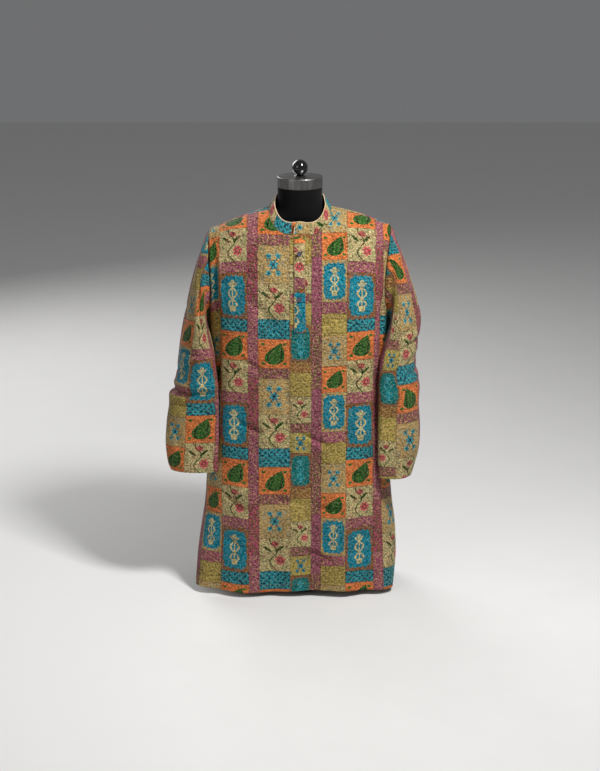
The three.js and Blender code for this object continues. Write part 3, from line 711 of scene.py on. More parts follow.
TILE_HEIGHT = 34.8
PRINT_COLUMNS = (
    PrintColumn(7.8, (
        Block(7.6, Motif.PAISLEY, ORANGE, GREEN, FERN),
        Block(3.4, Motif.LATTICE, TEAL, AQUA, NIGHT),
        Block(12.2, Motif.MEDALLION, RUST, BLUE, CREAM),
        Block(2.8, Motif.VINE, PLUM, MAUVE, TAN),
        Block(8.8, Motif.SPRIG, CREAM, PINK, LEAF))),
    PrintColumn(2.8, (
        Block(20.4, Motif.VINE, PLUM, MAUVE, TAN),
        Block(14.4, Motif.VINE, PLUM, OLIVE, PINK))),
    PrintColumn(8.2, (
        Block(9.6, Motif.ROSETTE, TAN, AQUA, NIGHT),
        Block(2.8, Motif.VINE, PLUM, OLIVE, TAN),
        Block(7.8, Motif.PAISLEY, ORANGE, GREEN, FERN),
        Block(5.2, Motif.LATTICE, TEAL, AQUA, NIGHT),
        Block(9.4, Motif.SPRIG, CREAM, PINK, LEAF))),
    PrintColumn(5.6, (
        Block(6.4, Motif.BORDER, MUSTARD, OLIVE, TAN),
        Block(3.0, Motif.BORDER, RUST, TAN, MUSTARD),
        Block(9.8, Motif.MEDALLION, RUST, TEAL, AQUA),
        Block(5.6, Motif.ROSETTE, MUSTARD, BLUE, NIGHT),
        Block(2.6, Motif.VINE, PLUM, OLIVE, TAN),
        Block(7.4, Motif.SPRIG, CREAM, PINK, LEAF))),
    PrintColumn(2.6, (
        Block(17.3, Motif.VINE, MAUVE, PLUM, OLIVE),
        Block(17.5, Motif.VINE, PLUM, OLIVE, TAN))),
    PrintColumn(6.6, (
        Block(10.8, Motif.MEDALLION, TAN, BLUE, CREAM),
        Block(7.0, Motif.PAISLEY, ORANGE, GREEN, FERN),
        Block(8.2, Motif.ROSETTE, TAN, AQUA, NIGHT),
        Block(5.8, Motif.BORDER, MUSTARD, TAN, OLIVE),
        Block(3.0, Motif.VINE, PLUM, MAUVE, TAN))),
)
TILE_WIDTH = sum(column.width for column in PRINT_COLUMNS)
COLUMN_SHIFTS = (0.0, 0.13, 0.41, 0.27, 0.71, 0.55)
BLOCKS = [block for column in PRINT_COLUMNS for block in column.blocks]
BLOCK_COUNT = len(BLOCKS)
CODES = 8
WOBBLE = 0.22
WASH_START, WASH_GAIN, WASH_STRENGTH = 0.46, 2.0, 0.5
OUTLINE, OUTLINE_WIDTH, OUTLINE_STRENGTH = (96, 66, 44), 0.09, 0.5


class PrintGroup:
    """The printed pattern as a node group: flat-cloth metres in, colour out."""

    def __init__(self) -> None:
        """Make the group."""
        self.tree = bpy.data.node_groups.new("patchwork print", "ShaderNodeTree")
        self.tree.interface.new_socket("Vector", in_out="INPUT", socket_type="NodeSocketVector")
        self.tree.interface.new_socket("Color", in_out="OUTPUT", socket_type="NodeSocketColor")
        self.graph = Graph(self.tree)
        colour = self.colour(self.graph.out("NodeGroupInput"))
        self.graph.put(self.tree.nodes.new("NodeGroupOutput").inputs[0], colour)

    def colour(self, source: Value) -> Value:
        """Lay out the blocks, draw their motifs and join them."""
        g = self.graph
        wobble = (g.noise(source, 55.0, 1.0) - 0.5) * WOBBLE
        u, v, _ = g.parts(g.moved("MULTIPLY", source, (100, 100, 100)))
        u, v = u + wobble, v - wobble
        column_u, middle_u, half_u = self.columns(u)
        shift = self.by_column(column_u, [(shift, 0, 0) for shift in COLUMN_SHIFTS])[0]
        tile_v = g.math("FRACT", v / TILE_HEIGHT + shift)
        middle_v, half_v, number = self.blocks(column_u, tile_v)
        a, b = column_u * TILE_WIDTH - middle_u, (tile_v - middle_v) * TILE_HEIGHT
        figure, detail = self.motifs(a, b, half_u, half_v, number, v)
        first, second, third = (self.by_number(number, [srgb(*getattr(block, name)) for block in BLOCKS])
                                for name in ("ground", "figure", "detail"))
        wash = g.math("MULTIPLY", g.noise(source, 62.0, 2.0) - WASH_START, WASH_GAIN, clamp=True)
        colour = g.mix(detail, g.mix(figure, first, second), third)
        colour = g.mix(wash * WASH_STRENGTH, colour, second)
        to_edge = (half_u - abs(a)) & (half_v - abs(b))
        return g.mix((to_edge < OUTLINE_WIDTH) * OUTLINE_STRENGTH, colour, rgba(*OUTLINE))

    def by_column(self, across: Value, values: Sequence[tuple]) -> list:
        """Three values of the column at a place across the tile, from those of each column."""
        starts = np.insert(np.cumsum([column.width for column in PRINT_COLUMNS]), 0, 0) / TILE_WIDTH
        return self.graph.parts(self.graph.steps(across, list(zip(starts.tolist(), values))))

    def by_number(self, number: Value, values: Sequence[tuple]) -> Value:
        """Colour of the block with that number, from one for each block."""
        return self.graph.steps(number, [(n / BLOCK_COUNT, value) for n, value in enumerate(values)])

    def columns(self, u: Value) -> tuple:
        """Place across the tile, and the middle and half-width of the column there."""
        across = self.graph.math("FRACT", u / TILE_WIDTH)
        values, place = [], 0.0
        for column in PRINT_COLUMNS:
            values.append(((place + column.width / 2) / TILE_WIDTH, column.width / 2 / 10, 0))
            place += column.width
        middle, half, _ = self.by_column(across, values)
        return across, middle * TILE_WIDTH, half * 10.0

    def blocks(self, column_u: Value, tile_v: Value) -> tuple:
        """Middle and half-height of the block at a place, and its number."""
        g = self.graph
        chosen, number = None, 0
        selector = self.by_column(column_u, [(n / CODES, 0, 0) for n in range(len(PRINT_COLUMNS))])[0]
        for index, column in enumerate(PRINT_COLUMNS):
            stops, place = [], 0.0
            total = sum(block.height for block in column.blocks)
            for block in column.blocks:
                share = block.height / total
                stops.append((place, (place + share / 2, share / 2, (number + 0.5) / BLOCK_COUNT)))
                place += share
                number += 1
            ramp = g.steps(tile_v, stops)
            chosen = g.mix(selector > (index - 0.5) / CODES, chosen, ramp) if chosen else ramp
        middle, half, which = g.parts(chosen)
        return middle, half * TILE_HEIGHT, which

    def motifs(self, a: Value, b: Value, half_u: Value, half_v: Value, number: Value, v: Value) -> tuple:
        """Masks of the figures and of their details, each block with its own motif."""
        size = half_u & half_v
        p, q = a / size, b / size
        drawn = {
            Motif.PAISLEY: self.paisley(p, q), Motif.SPRIG: self.sprig(p, q),
            Motif.MEDALLION: self.medallion(a / half_u, b / half_v), Motif.ROSETTE: self.rosette(p, q),
            Motif.LATTICE: self.lattice(a, b), Motif.VINE: self.vine(a, b, half_u), Motif.BORDER: self.border(a, v),
        }
        codes = self.by_number(number, [(block.motif.value / CODES, 0, 0) for block in BLOCKS])
        kinds = self.graph.parts(codes)[0]
        figures, details = 0.0, 0.0
        for motif, (figure, detail) in drawn.items():
            chosen = self.graph.within(kinds, motif.value / CODES, 0.05)
            figures, details = chosen * figure + figures, chosen * detail + details
        return figures, details

    def curls(self, p: Value, q: Value, scale: float, level: float, breadth: float) -> Value:
        """Curling lines: where a slow noise passes a level."""
        g = self.graph
        return g.within(g.noise(g.vector(p, q), scale, 0.0), level, breadth)

    def paisley(self, p: Value, q: Value) -> tuple:
        """A plump drop with a bent tip, veined inside, with small leaves beside it."""
        g = self.graph
        t = g.math("DIVIDE", q + 0.74, 1.5, clamp=True)
        bent, wide = abs(p - t ** 2.2 * 0.5), g.math("SQRT", t) * (1.0 - t) * 1.7
        inside = bent < wide
        ring, veins = g.within(bent / wide, 0.66, 0.09), self.curls(p, q, 5.0, 0.5, 0.035)
        corner = g.length(abs(p) - 0.72, (abs(q) - 0.66) * 1.5)
        return inside | (corner < 0.14), inside & (ring | veins)

    def sprig(self, p: Value, q: Value) -> tuple:
        """A round flower with buds among curling stems and leaves."""
        g = self.graph
        right, up = p - 0.36, q + 0.4
        reach = g.length(right, up)
        flower = reach < g.wave(g.angle(up, right), 7.0) * 0.05 + 0.3
        fold, blush = flower & g.within(reach, 0.15, 0.025), g.length(p * 0.8, q - 0.72) < 0.2
        stem = g.within(p - g.wave(q, 4.2, 0.6) * 0.24, -0.08, 0.045)
        aside = abs(p + 0.08)
        leaf = (aside - 0.4) ** 2.0 * 9.0 + (q - 0.12 - aside * 0.7) ** 2.0 * 60.0 < 0.7
        lines = stem | leaf | self.curls(p, q, 4.2, 0.47, 0.022) | self.curls(p, q, 4.2, 0.6, 0.02)
        return flower | blush, fold | lines & (1.0 - flower)

    def medallion(self, p: Value, q: Value) -> tuple:
        """A many-lobed panel that holds a plant in a pot."""
        g = self.graph
        aside = abs(p)
        panel = (aside ** 5.0 + abs(q) ** 5.0) ** 0.2 < g.wave(g.angle(q, p), 16.0) * 0.035 + 0.86
        branch = g.within(aside - abs(g.wave(q, 6.4, 0.9)) * 0.3, 0.0, 0.07) & g.within(q, 0.06, 0.5)
        stem = (aside < 0.045) & g.within(q, -0.02, 0.5)
        bloom = g.length(p, (q - 0.56) * 1.5) < 0.17
        pot = (aside < (q + 0.55) * 0.3 + 0.22) & g.within(q, -0.56, 0.12)
        return panel, branch | stem | bloom | pot

    def rosette(self, p: Value, q: Value) -> tuple:
        """Small flowers: one in the middle and four about it."""
        g = self.graph
        reach, aside, along = g.length(p, q), abs(p) - 0.3, abs(q) - 0.52
        small = g.length(aside, along)
        petals = reach < g.wave(g.angle(q, p), 6.0) * 0.07 + 0.26
        buds = small < g.wave(g.angle(along, aside), 5.0) * 0.04 + 0.16
        stalk = g.within(abs(q) - abs(p) * 1.7, 0.0, 0.05) & (reach < 0.5)
        return petals | buds, (reach < 0.09) | (small < 0.06) | stalk

    def lattice(self, a: Value, b: Value) -> tuple:
        """Crossing lines and dots, broken up by curls."""
        g = self.graph
        one, two = abs(g.cell(a + b, 1.5)), abs(g.cell(a - b, 1.5))
        return (((one | two) > 0.38) | self.curls(a, b, 1.1, 0.45, 0.05),
                (g.length(one, two) < 0.2) | self.curls(a, b, 1.3, 0.6, 0.04))

    def vine(self, a: Value, b: Value, half_u: Value) -> tuple:
        """A winding stem in a band, with curls either side."""
        stem = abs(a - self.graph.wave(b, 1.9) * (half_u * 0.42)) < 0.14
        return stem | self.curls(a, b, 0.9, 0.44, 0.04), self.curls(a, b, 1.4, 0.58, 0.04)

    def border(self, a: Value, v: Value) -> tuple:
        """Faint chevrons all over."""
        chevron = abs(self.graph.cell(v + abs(a) * 0.9, 1.3)) < 0.12
        return chevron * 0.5, self.curls(a, v, 1.0, 0.5, 0.03)


@dataclass(frozen=True)
class ClothLook:
    """Numbers of the cloth's weave, tone and relief, and of the painted shade and painted highlight on its crimp;
    scales are in waves per metre.
    """

    thread: float = 0.9
    crimp: tuple = (150, 190, 1)
    # Below this level of the crimp noise, which also raises the relief, the tone is darkened: painted shade in the
    # crimp's hollows.
    crimp_shade_below: float = 0.42
    # The next four numbers make painted highlight lines on the crimp: in a thin band at one level of its noise, the
    # colour is mixed towards a pale gold.
    crimp_highlight_at: float = 0.58
    crimp_highlight_half: float = 0.025
    light: tuple = (236, 216, 160)
    crimp_highlight_strength: float = 0.20
    slub: tuple = (90, 900, 1)
    tone_offset: float = -0.84
    darkest: float = 0.08
    reverse: tuple = (178, 156, 112)
    reverse_strength: float = 0.55
    relief: float = 0.0018
    sheen: float = 0.02
    sheen_tint: tuple = (1.0, 0.93, 0.78, 1)


LOOK = ClothLook()
SPECULAR, MATT_SPECULAR, MATT_FROM = 0.5, 0.12, 0.8


@dataclass(frozen=True)
class ClothFinish:
    """The printed cloth as one piece shows it.

    Attributes:
        name: The material's name.
        shift: Where the piece lies on the printed cloth, in metres.
        reverse: Whether it is the cloth's paler other side.
        line_up: Whether the print runs up the piece rather than along it.
    """

    name: str
    shift: tuple
    reverse: bool = False
    line_up: bool = True

    def build(self, pattern: NodeTree) -> Material:
        """Make the material with the print's node group."""
        material, g, shader = new_finish(self.name)
        uv = g.out("ShaderNodeUVMap", uv_map="cloth")
        if not self.line_up:
            along, up, _ = g.parts(uv)
            uv = g.vector(up, along)
        place = g.moved("ADD", uv, (*self.shift, 0))
        u, v, _ = g.parts(g.moved("MULTIPLY", place, (1000, 1000, 1000)))
        crimp = g.noise(g.moved("MULTIPLY", place, LOOK.crimp), 1.0, 1.0)
        # The crimp noise also shapes the relief below: its low parts give painted shade, and a thin band of it gives
        # painted highlight lines.
        crimp_shade, light = crimp < LOOK.crimp_shade_below, g.within(crimp, LOOK.crimp_highlight_at, LOOK.crimp_highlight_half)
        weave = g.wave(u, 2 * math.pi / LOOK.thread) * g.wave(v, 2 * math.pi / LOOK.thread)
        slub = g.noise(g.moved("MULTIPLY", place, LOOK.slub), 1.0, 2.0)
        mottled = g.noise(place, 210.0, 3.0, 0.7) * 2.3 + g.noise(place, 16.0, 3.0) * 0.6
        # The tone holds random mottling and slubs, and is lower where the crimp is low: painted shade in its hollows.
        tone = (slub * 0.34 + mottled + LOOK.tone_offset - crimp_shade * 0.24) | LOOK.darkest
        printed = g.out("ShaderNodeGroup", {0: place}, node_tree=pattern)
        colour = g.mix(1.0, printed, g.vector(tone, tone, tone), "MULTIPLY")
        # Pale gold mixed in along the crimp band: painted highlight.
        colour = g.mix(light * LOOK.crimp_highlight_strength, colour, rgba(*LOOK.light))
        if self.reverse:
            colour = g.mix(LOOK.reverse_strength, colour, rgba(*LOOK.reverse))
        g.put(shader.inputs["Base Color"], colour)
        rumpled = g.noise(place, 84.0, 2.0, 0.7) * 6.0 + g.noise(place, 26.0, 1.0) * 7.0
        height = crimp * 2.0 + rumpled + (weave * 0.14 + slub * 0.6)
        g.put(shader.inputs["Normal"], g.bump(height, LOOK.relief))
        g.put(shader.inputs["Roughness"], slub * 0.2 + 0.40)
        shader.inputs["Sheen Weight"].default_value = LOOK.sheen
        shader.inputs["Sheen Roughness"].default_value = 0.35
        shader.inputs["Sheen Tint"].default_value = LOOK.sheen_tint
        shader.inputs["Specular IOR Level"].default_value = MATT_SPECULAR
        return material


@dataclass(frozen=True)
class PlainFinish:
    """A finish of one colour with a grain of its own.

    Attributes:
        name: The material's name.
        colour: Its sRGB colour.
        roughness: From polished 0 to matt 1.
        metallic: 1 on bare metal.
        grain: The noise's scale in waves per metre.
        grain_depth: How far the grain changes the tone; on a turned finish, how far the painted reflection streaks
            change it.
        bump: Depth of the grain, in millimetres.
        sheen: Soft edge light of cloth.
        coat: Weight of a clear coat.
        turned: Whether the grain runs in rings about an upright axis, with vertical light and dark bands round that
            axis painted into the colour as reflections.
    """

    name: str
    colour: tuple
    roughness: float
    metallic: float = 0.0
    grain: float = 400.0
    grain_depth: float = 0.12
    bump: float = 0.02
    sheen: float = 0.0
    coat: float = 0.0
    turned: bool = False

    def build(self) -> Material:
        """Make the material."""
        material, g, shader = new_finish(self.name)
        place = Value(g, g.node("ShaderNodeTexCoord").outputs["Object"])
        tone = None
        # A turned finish takes its colour's tone from a noise round the axis: painted reflection streaks, light and
        # dark bands up the side.
        if self.turned:
            x, y, z = g.parts(place)
            y = y - NECK_CAP.y * MM
            tone = g.noise(g.vector(g.angle(x, y), z * 3.0), 3.4, 2.0, 0.7)
            place = g.vector(g.length(x, y) * 9.0, z * 9.0)
        grain = g.noise(place, self.grain, 3.0, 0.6)
        tone = tone or grain
        deep = tuple(c * (1 - self.grain_depth) for c in srgb(*self.colour))
        high = tuple(min(c * (1 + self.grain_depth) + 0.002, 1) for c in srgb(*self.colour))
        g.put(shader.inputs["Base Color"], g.mix(tone, (*deep, 1), (*high, 1)))
        g.put(shader.inputs["Roughness"], grain * 0.12 + (self.roughness - 0.06))
        g.put(shader.inputs["Normal"], g.bump(grain, self.bump * MM))
        shader.inputs["Metallic"].default_value = self.metallic
        shader.inputs["Sheen Weight"].default_value = self.sheen
        shader.inputs["Coat Weight"].default_value = self.coat
        shader.inputs["Specular IOR Level"].default_value = SPECULAR if self.roughness < MATT_FROM else MATT_SPECULAR
        return material


# ---- stitches

STITCH_SIDES = 6
STITCH_RINGS = ((-0.5, 0.35, -0.35), (-0.3, 1, 0.1), (0.3, 1, 0.1), (0.5, 0.35, -0.35))


@dataclass
class StitchRun:
    """A run of stitches along a line on the cloth, in millimetres."""

    points: Array
    normals: Array
    pitch: float = 3.4
    length: float = 2.4
    radius: float = 0.32

    def mesh(self) -> tuple:
        """Vertices in metres and faces of the stitches."""
        reach = run_lengths(self.points, 0)
        centres = np.arange(self.pitch, reach[-1] - self.pitch / 2, self.pitch)
        at = lambda where, of: np.stack([np.interp(where, reach, of[:, n]) for n in range(3)], axis=1)
        middle, normal = at(centres, self.points), at(centres, self.normals)
        along = unit(at(centres + 0.6, self.points) - at(centres - 0.6, self.points))
        aside = unit(np.cross(along, normal))
        up = np.cross(aside, along)
        rings = []
        for share, size, lift in STITCH_RINGS:
            for turn in range(STITCH_SIDES):
                angle = turn * 2 * math.pi / STITCH_SIDES
                rings.append(middle + along * self.length * share
                             + aside * self.radius * size * math.cos(angle)
                             + up * self.radius * (size * math.sin(angle) + lift))
        vertices = np.stack(rings, axis=1).reshape(-1, 3) * MM
        sides, end, faces = joined(quads(len(STITCH_RINGS), STITCH_SIDES, True)), np.arange(STITCH_SIDES), []
        for first in range(0, len(centres) * len(rings), len(rings)):
            faces += [(first + end[::-1]).tolist(), (first + len(rings) - STITCH_SIDES + end).tolist()]
            faces += (sides + first).tolist()
        return vertices, faces


def stitches(name: str, runs: Sequence[StitchRun], finish: Material) -> Object:
    """One piece of all the stitches on a piece of cloth."""
    vertices, faces = [], []
    for run in runs:
        these, sides = run.mesh()
        faces += [[len(vertices) + i for i in side] for side in sides]
        vertices += these.tolist()
    piece = mesh_piece(name, vertices, faces)
    piece.data.materials.append(finish)
    return piece


def line_at(points: Grid, normals: Grid, coordinate: Grid, value: float) -> tuple:
    """Points and normals where a coordinate that rises along each column has a value."""
    return tuple(np.stack([[np.interp(value, coordinate[:, i], of[:, i, n]) for n in range(3)]
                           for i in range(points.shape[1])]) for of in (points, normals))


# ---- body panels

SEAM_RISE, SEAM_RISE_AWAY, SEAM_RISE_BREADTH, SEAM_GROOVE = 2.8, 8.5, 5, 3
HEM_RISE, HEM_EDGE, HEM_GROOVE = 0.45, 1.5, 1.6


def seam_relief(away: Array) -> Array:
    """How the cloth rises beside a seam, at a distance from it."""
    return SEAM_RISE * bell(away, SEAM_RISE_AWAY, SEAM_RISE_BREADTH) * (1 - bell(away, 0, SEAM_GROOVE))


def hem_relief(distance: Array, width: float) -> Array:
    """The doubled cloth of a hem, with the groove of its stitches."""
    return HEM_RISE * (1 - smoothstep(distance, width - HEM_EDGE, width + HEM_EDGE)) \
        - HEM_RISE * bell(distance, width, HEM_GROOVE)


class Half(Enum):
    """Front or back of the body."""

    FRONT = "front"
    BACK = "back"


class Side(Enum):
    """Left or right of the wearer."""

    LEFT = "left"
    RIGHT = "right"


HEM_WIDTH, SLIT_HEM_WIDTH, CUFF_HEM_WIDTH = 20.0, 13.0, 20.0
HEM_ROW_ZS = np.concatenate([np.arange(HEM_Z, 50, 2.0), np.arange(50, UNDERARM_Z, 4.0)])
TOP_STEPS = np.linspace(0, ARMHOLE_STEPS, 66)
EDGE_FADE, TOP_FADE, SLIT_FADE, UNDERARM_STEPS = (2.2, 0.3), (2, 0.2), 12, 5
FOLD_GAIN, UNEVEN_GAIN = 1.3, 2.0
CREASE_LIMIT, CREASE_REACH = 8.5, 3.4
HEM_WAVE, HEM_WAVE_LENGTH, HEM_SLOPE, HEM_SLOPE_FROM, HEM_WAVE_REACH = 3.2, 64, 0.010, 90, 150


@dataclass
class BodyPanel:
    """Front or back of the kurta, from hem to shoulder seams and neckline."""

    half: Half
    per_column: int
    creases: tuple
    phase: float
    points: Grid = field(init=False)
    normals: Grid = field(init=False)
    flat: Grid = field(init=False)
    columns: Array = field(init=False)

    def __post_init__(self) -> None:
        """Work out the panel's surface."""
        self.columns = np.linspace(-COLUMNS, COLUMNS, 2 * COLUMNS * self.per_column + 1)
        half, facing = self.half.value, FACING[self.half.value]
        k, z = np.meshgrid(self.columns, HEM_ROW_ZS)
        kk, step = np.meshgrid(self.columns, TOP_STEPS)
        base = np.concatenate([lower_points(half, k, z), upper_points(half, kk, step)])
        steps = np.concatenate([0 * HEM_ROW_ZS, TOP_STEPS])[:, None]
        flip = self.half is Half.BACK
        across = run_lengths(base, 1)
        edge = np.minimum(across, across[:, -1:] - across)
        u, v = self.grain(base, across)
        share = np.abs(self.columns)[None, :] / COLUMNS + 0 * u
        inside = (1 - smoothstep(share * COLUMNS, *(COLUMNS - fade for fade in EDGE_FADE))) \
            * (1 - smoothstep(steps, *(ARMHOLE_STEPS - fade for fade in TOP_FADE)))
        slit = 1 - smoothstep(base[..., 2], SLIT_TOP_Z - SLIT_FADE, SLIT_TOP_Z)
        heights = FOLD_GAIN * main_folds(half, base, share)
        heights += inside * CREASE_LIMIT * np.tanh(creased(self.creases, u, v) / CREASE_REACH)
        heights += inside * UNEVEN_GAIN * unevenness(u, v, self.phase)
        heights += hem_relief(v, HEM_WIDTH) * inside + hem_relief(edge, SLIT_HEM_WIDTH) * slit
        heights += seam_relief(edge) * smoothstep(steps, 0, UNDERARM_STEPS)
        self.points = base + grid_normals(base, False, flip) * heights[..., None]
        low = 1 - smoothstep(base[..., 2], HEM_Z, HEM_Z + HEM_WAVE_REACH)
        wave = HEM_WAVE * np.sin(u / HEM_WAVE_LENGTH + self.phase)
        self.points[..., 2] += low * (wave - HEM_SLOPE * np.minimum(u + HEM_SLOPE_FROM, 0))
        self.points[..., 1] = facing * np.maximum(facing * self.points[..., 1], GAP / 2)
        self.normals = grid_normals(self.points, False, flip)
        self.flat = np.stack([u, v], axis=-1)

    def grain(self, base: Grid, across: Array) -> tuple:
        """Distances across and up on the flat cloth, whose threads stay upright above the underarm too."""
        middle, low = len(self.columns) // 2, len(HEM_ROW_ZS) - 1
        u = across - across[:, middle:middle + 1]
        u[low + 1:] = np.interp(base[low + 1:, :, 0], base[low, :, 0], u[low])
        return u, run_lengths(base[..., 1:], 0)

    def cloth(self) -> ClothGrid:
        """The panel as a grid of cloth."""
        return ClothGrid(self.half.value, self.points, self.flat, flip=self.half is Half.BACK)

    def runs(self) -> list:
        """Stitches of the hem and of the two slit edges."""
        points, normals = line_at(self.points, self.normals, self.flat[..., 1], HEM_WIDTH)
        inner = slice(self.per_column, -self.per_column)
        runs = [StitchRun(points[inner], normals[inner])]
        rows = slice(9, int(np.searchsorted(HEM_ROW_ZS, SLIT_TOP_Z)) + 2)
        from_right = self.flat[rows, :, 0] - self.flat[rows, :1, 0]
        from_left = self.flat[rows, -1:, 0] - self.flat[rows, :, 0]
        for distance, order in ((from_right, slice(None)), (from_left, slice(None, None, -1))):
            swap = lambda grid: np.swapaxes(grid[rows][:, order], 0, 1)
            line = line_at(swap(self.points), swap(self.normals), distance[:, order].T, SLIT_HEM_WIDTH)
            runs.append(StitchRun(*line))
        return runs


PLACKET_STITCH_INSET, PLACKET_PRESS = 2.2, 0.5
PLACKET_WAVES = ((0.35, 17, 1), (0.25, 7.3, 2))


@dataclass
class Placket:
    """The strip of doubled cloth down the middle of the front, stitched along its edges."""

    front: BodyPanel

    def strip(self) -> tuple:
        """Outer points and normals of the strip, and the distance across it."""
        reach = self.front.per_column
        middle = len(self.front.columns) // 2
        first = int(np.searchsorted(HEM_ROW_ZS, PLACKET_END_Z))
        rows, columns = slice(first, -2), slice(middle - reach, middle + reach + 1)
        normals = self.front.normals[rows, columns]
        points = self.front.points[rows, columns] + normals * (GAP + BAND_WALL)
        across = np.linspace(-1, 1, points.shape[1])[None, :]
        along = run_lengths(points, 0)
        wave = sum(height * np.sin(along / length + turn * across) for height, length, turn in PLACKET_WAVES)
        points = points + normals * (wave * (1 - across ** 2) - PLACKET_PRESS * np.abs(across) ** 6)[..., None]
        return points, normals, run_lengths(points, 1)

    def cloth(self) -> ClothGrid:
        """The strip as a grid of cloth."""
        points, _, across = self.strip()
        return ClothGrid("placket", points, np.stack([across, run_lengths(points, 0)], axis=-1))

    def runs(self) -> list:
        """Stitches down both edges and round the box at the end."""
        points, normals, across = self.strip()
        runs = []
        swap = lambda grid: np.swapaxes(grid, 0, 1)
        for at in (PLACKET_STITCH_INSET, float(across[0, -1]) - PLACKET_STITCH_INSET):
            runs.append(StitchRun(*line_at(swap(points), swap(normals), across.T, at)))
        for z in (PLACKET_END_Z + 3, PLACKET_BOX_Z):
            line, out = line_at(points, normals, points[..., 2], z)
            runs.append(StitchRun(line[1:-1], out[1:-1], pitch=2.6, length=2.1))
        return runs


# ---- sleeves

SEAM_EASE, SEAM_EASED, CUFF_EASED = 4, 40, 12
BODY_NEAR, BODY_CLEAR, SLEEVE_DEEPEST = 1.5, 12, -9
PRESS, PRESS_FROM, PRESS_FULL = 0.58, 0.5, 2.2


@dataclass
class Sleeve:
    """One sleeve, from the armhole to the cuff, as a tube."""

    side: Side
    around: int
    rows: int
    creases: tuple
    phase: float
    points: Grid = field(init=False)
    normals: Grid = field(init=False)
    flat: Grid = field(init=False)

    def __post_init__(self) -> None:
        """Work out the sleeve's surface."""
        angles = (np.arange(self.around) / self.around * 2 - 1) * np.pi
        base = self.section(self.places(), angles)
        closed = np.concatenate([base, base[:, :1]], axis=1)
        across = run_lengths(closed, 1)
        u = across - across[:, self.around // 2:self.around // 2 + 1]
        v = run_lengths(closed, 0)
        v = v[-1:] - v
        heights = creased(self.creases, u, v) + unevenness(u, v, self.phase)
        down = run_lengths(closed, 0)
        heights *= smoothstep(down, SEAM_EASE, SEAM_EASED) * smoothstep(v, 0, CUFF_EASED)
        heights += hem_relief(v, CUFF_HEM_WIDTH) + seam_relief(down)
        away = np.abs(closed[..., 0]) - body_side_x(self.side.value, closed[..., 1], closed[..., 2])
        heights = np.maximum(heights * smoothstep(away, BODY_NEAR, BODY_CLEAR), SLEEVE_DEEPEST)
        flip = self.side is Side.RIGHT
        self.points = base + grid_normals(base, True, flip) * heights[:, :-1, None]
        self.normals = grid_normals(self.points, True, flip)
        self.flat = np.stack([u - self.lean(closed, u), v], axis=-1)

    def lean(self, closed: Grid, u: Array) -> Array:
        """How far a straight line down the front face moves across the cloth, row by row.

        Args:
            closed: The sleeve's points, with the first column repeated at the end.
            u: Their distances from the outer line.

        Returns:
            A smooth shift of one column, so that the cloth's grain hangs straight in front.
        """
        front = slice(self.around // 2, self.around)
        wide, down = np.abs(closed[:, front, 0]), closed[:, front, 2].mean(axis=1)
        rows = np.arange(self.rows // 4, self.rows)
        ends = [(wide[row].max() + wide[row].min()) / 2 for row in (rows[0], rows[-1])]
        line = np.interp(-down, (-down[rows[0]], -down[rows[-1]]), ends)
        found = [np.interp(-line[row], -wide[row], u[row, front]) for row in rows]
        curve = np.polynomial.Polynomial.fit(down[rows], found, 5)
        shift = curve(np.clip(down, None, down[rows[0]]))
        return (shift - shift[-1])[:, None]

    def places(self) -> Array:
        """Places down the table's rows that are evenly spaced along the outer edge."""
        table = SLEEVE_ROWS[self.side.value]
        fine = np.linspace(0, table.columns["n"][-1], 600)
        reach = run_lengths(np.stack([table.at("outX", fine), table.at("outZ", fine)], axis=1), 0)
        return np.interp(np.linspace(0, reach[-1], self.rows), reach, fine)

    def section(self, places: Array, angles: Array) -> Grid:
        """Points of the sections at some places, led over into the armhole at the top."""
        tube = self.tube(places, angles)
        ring, start = self.armhole(angles), self.tube(np.zeros(1), angles)[0]
        lead = np.maximum(1 - places, 0)[:, None, None] ** 2
        return tube + lead * (ring - start)[None]

    def tube(self, places: Array, angles: Array) -> Grid:
        """Points of the sections as their table gives them, kept clear of the body."""
        side, table = self.side.value, SLEEVE_ROWS[self.side.value]
        row = table.row(places)
        half_x, half_z = (row["outX"] - row["inX"]) / 2, (row["outZ"] - row["inZ"]) / 2
        reach = np.hypot(half_x, half_z)
        long = np.sqrt(reach ** 2 - row["turn"] ** 2)
        power = 1 - PRESS * smoothstep(places, PRESS_FROM, PRESS_FULL)[:, None]
        pressed = lambda wave: np.where(angles > np.pi / 2, signed_power(wave, power), wave)
        across, fore = pressed(np.cos(angles)), pressed(np.sin(angles))
        out = (long * across - row["turn"] * fore) / reach
        last = table.columns["n"][-1]
        dip = CUFF_DIP * smoothstep(places, last - 4, last)[:, None]
        y = row["midY"] - row["halfY"] * fore
        z = (row["outZ"] + row["inZ"]) / 2 + half_z * out - dip * np.maximum(np.sin(angles), 0)
        x = (row["outX"] + row["inX"]) / 2 + half_x * out
        x = soft_max(x, body_side_x(side, y, z) + SLEEVE_CLEARANCE, 3)
        return np.stack([SIGN[side] * x, y, z], axis=-1)

    def armhole(self, angles: Array) -> Array:
        """Points of the armhole's edge, a gap away from the body."""
        steps = ARMHOLE_STEPS * (1 - np.abs(angles) / np.pi)
        edge = np.full_like(angles, SIGN[self.side.value] * COLUMNS)
        front, back = upper_points("front", edge, steps), upper_points("back", edge, steps)
        ring = np.where(angles[:, None] >= 0, front, back)
        ring[:, 0] += SIGN[self.side.value] * GAP
        return ring

    def cloth(self) -> ClothGrid:
        """The sleeve as a grid of cloth."""
        name = f"sleeve_{self.side.value}"
        return ClothGrid(name, self.points, self.flat, wrap=True, flip=self.side is Side.RIGHT)

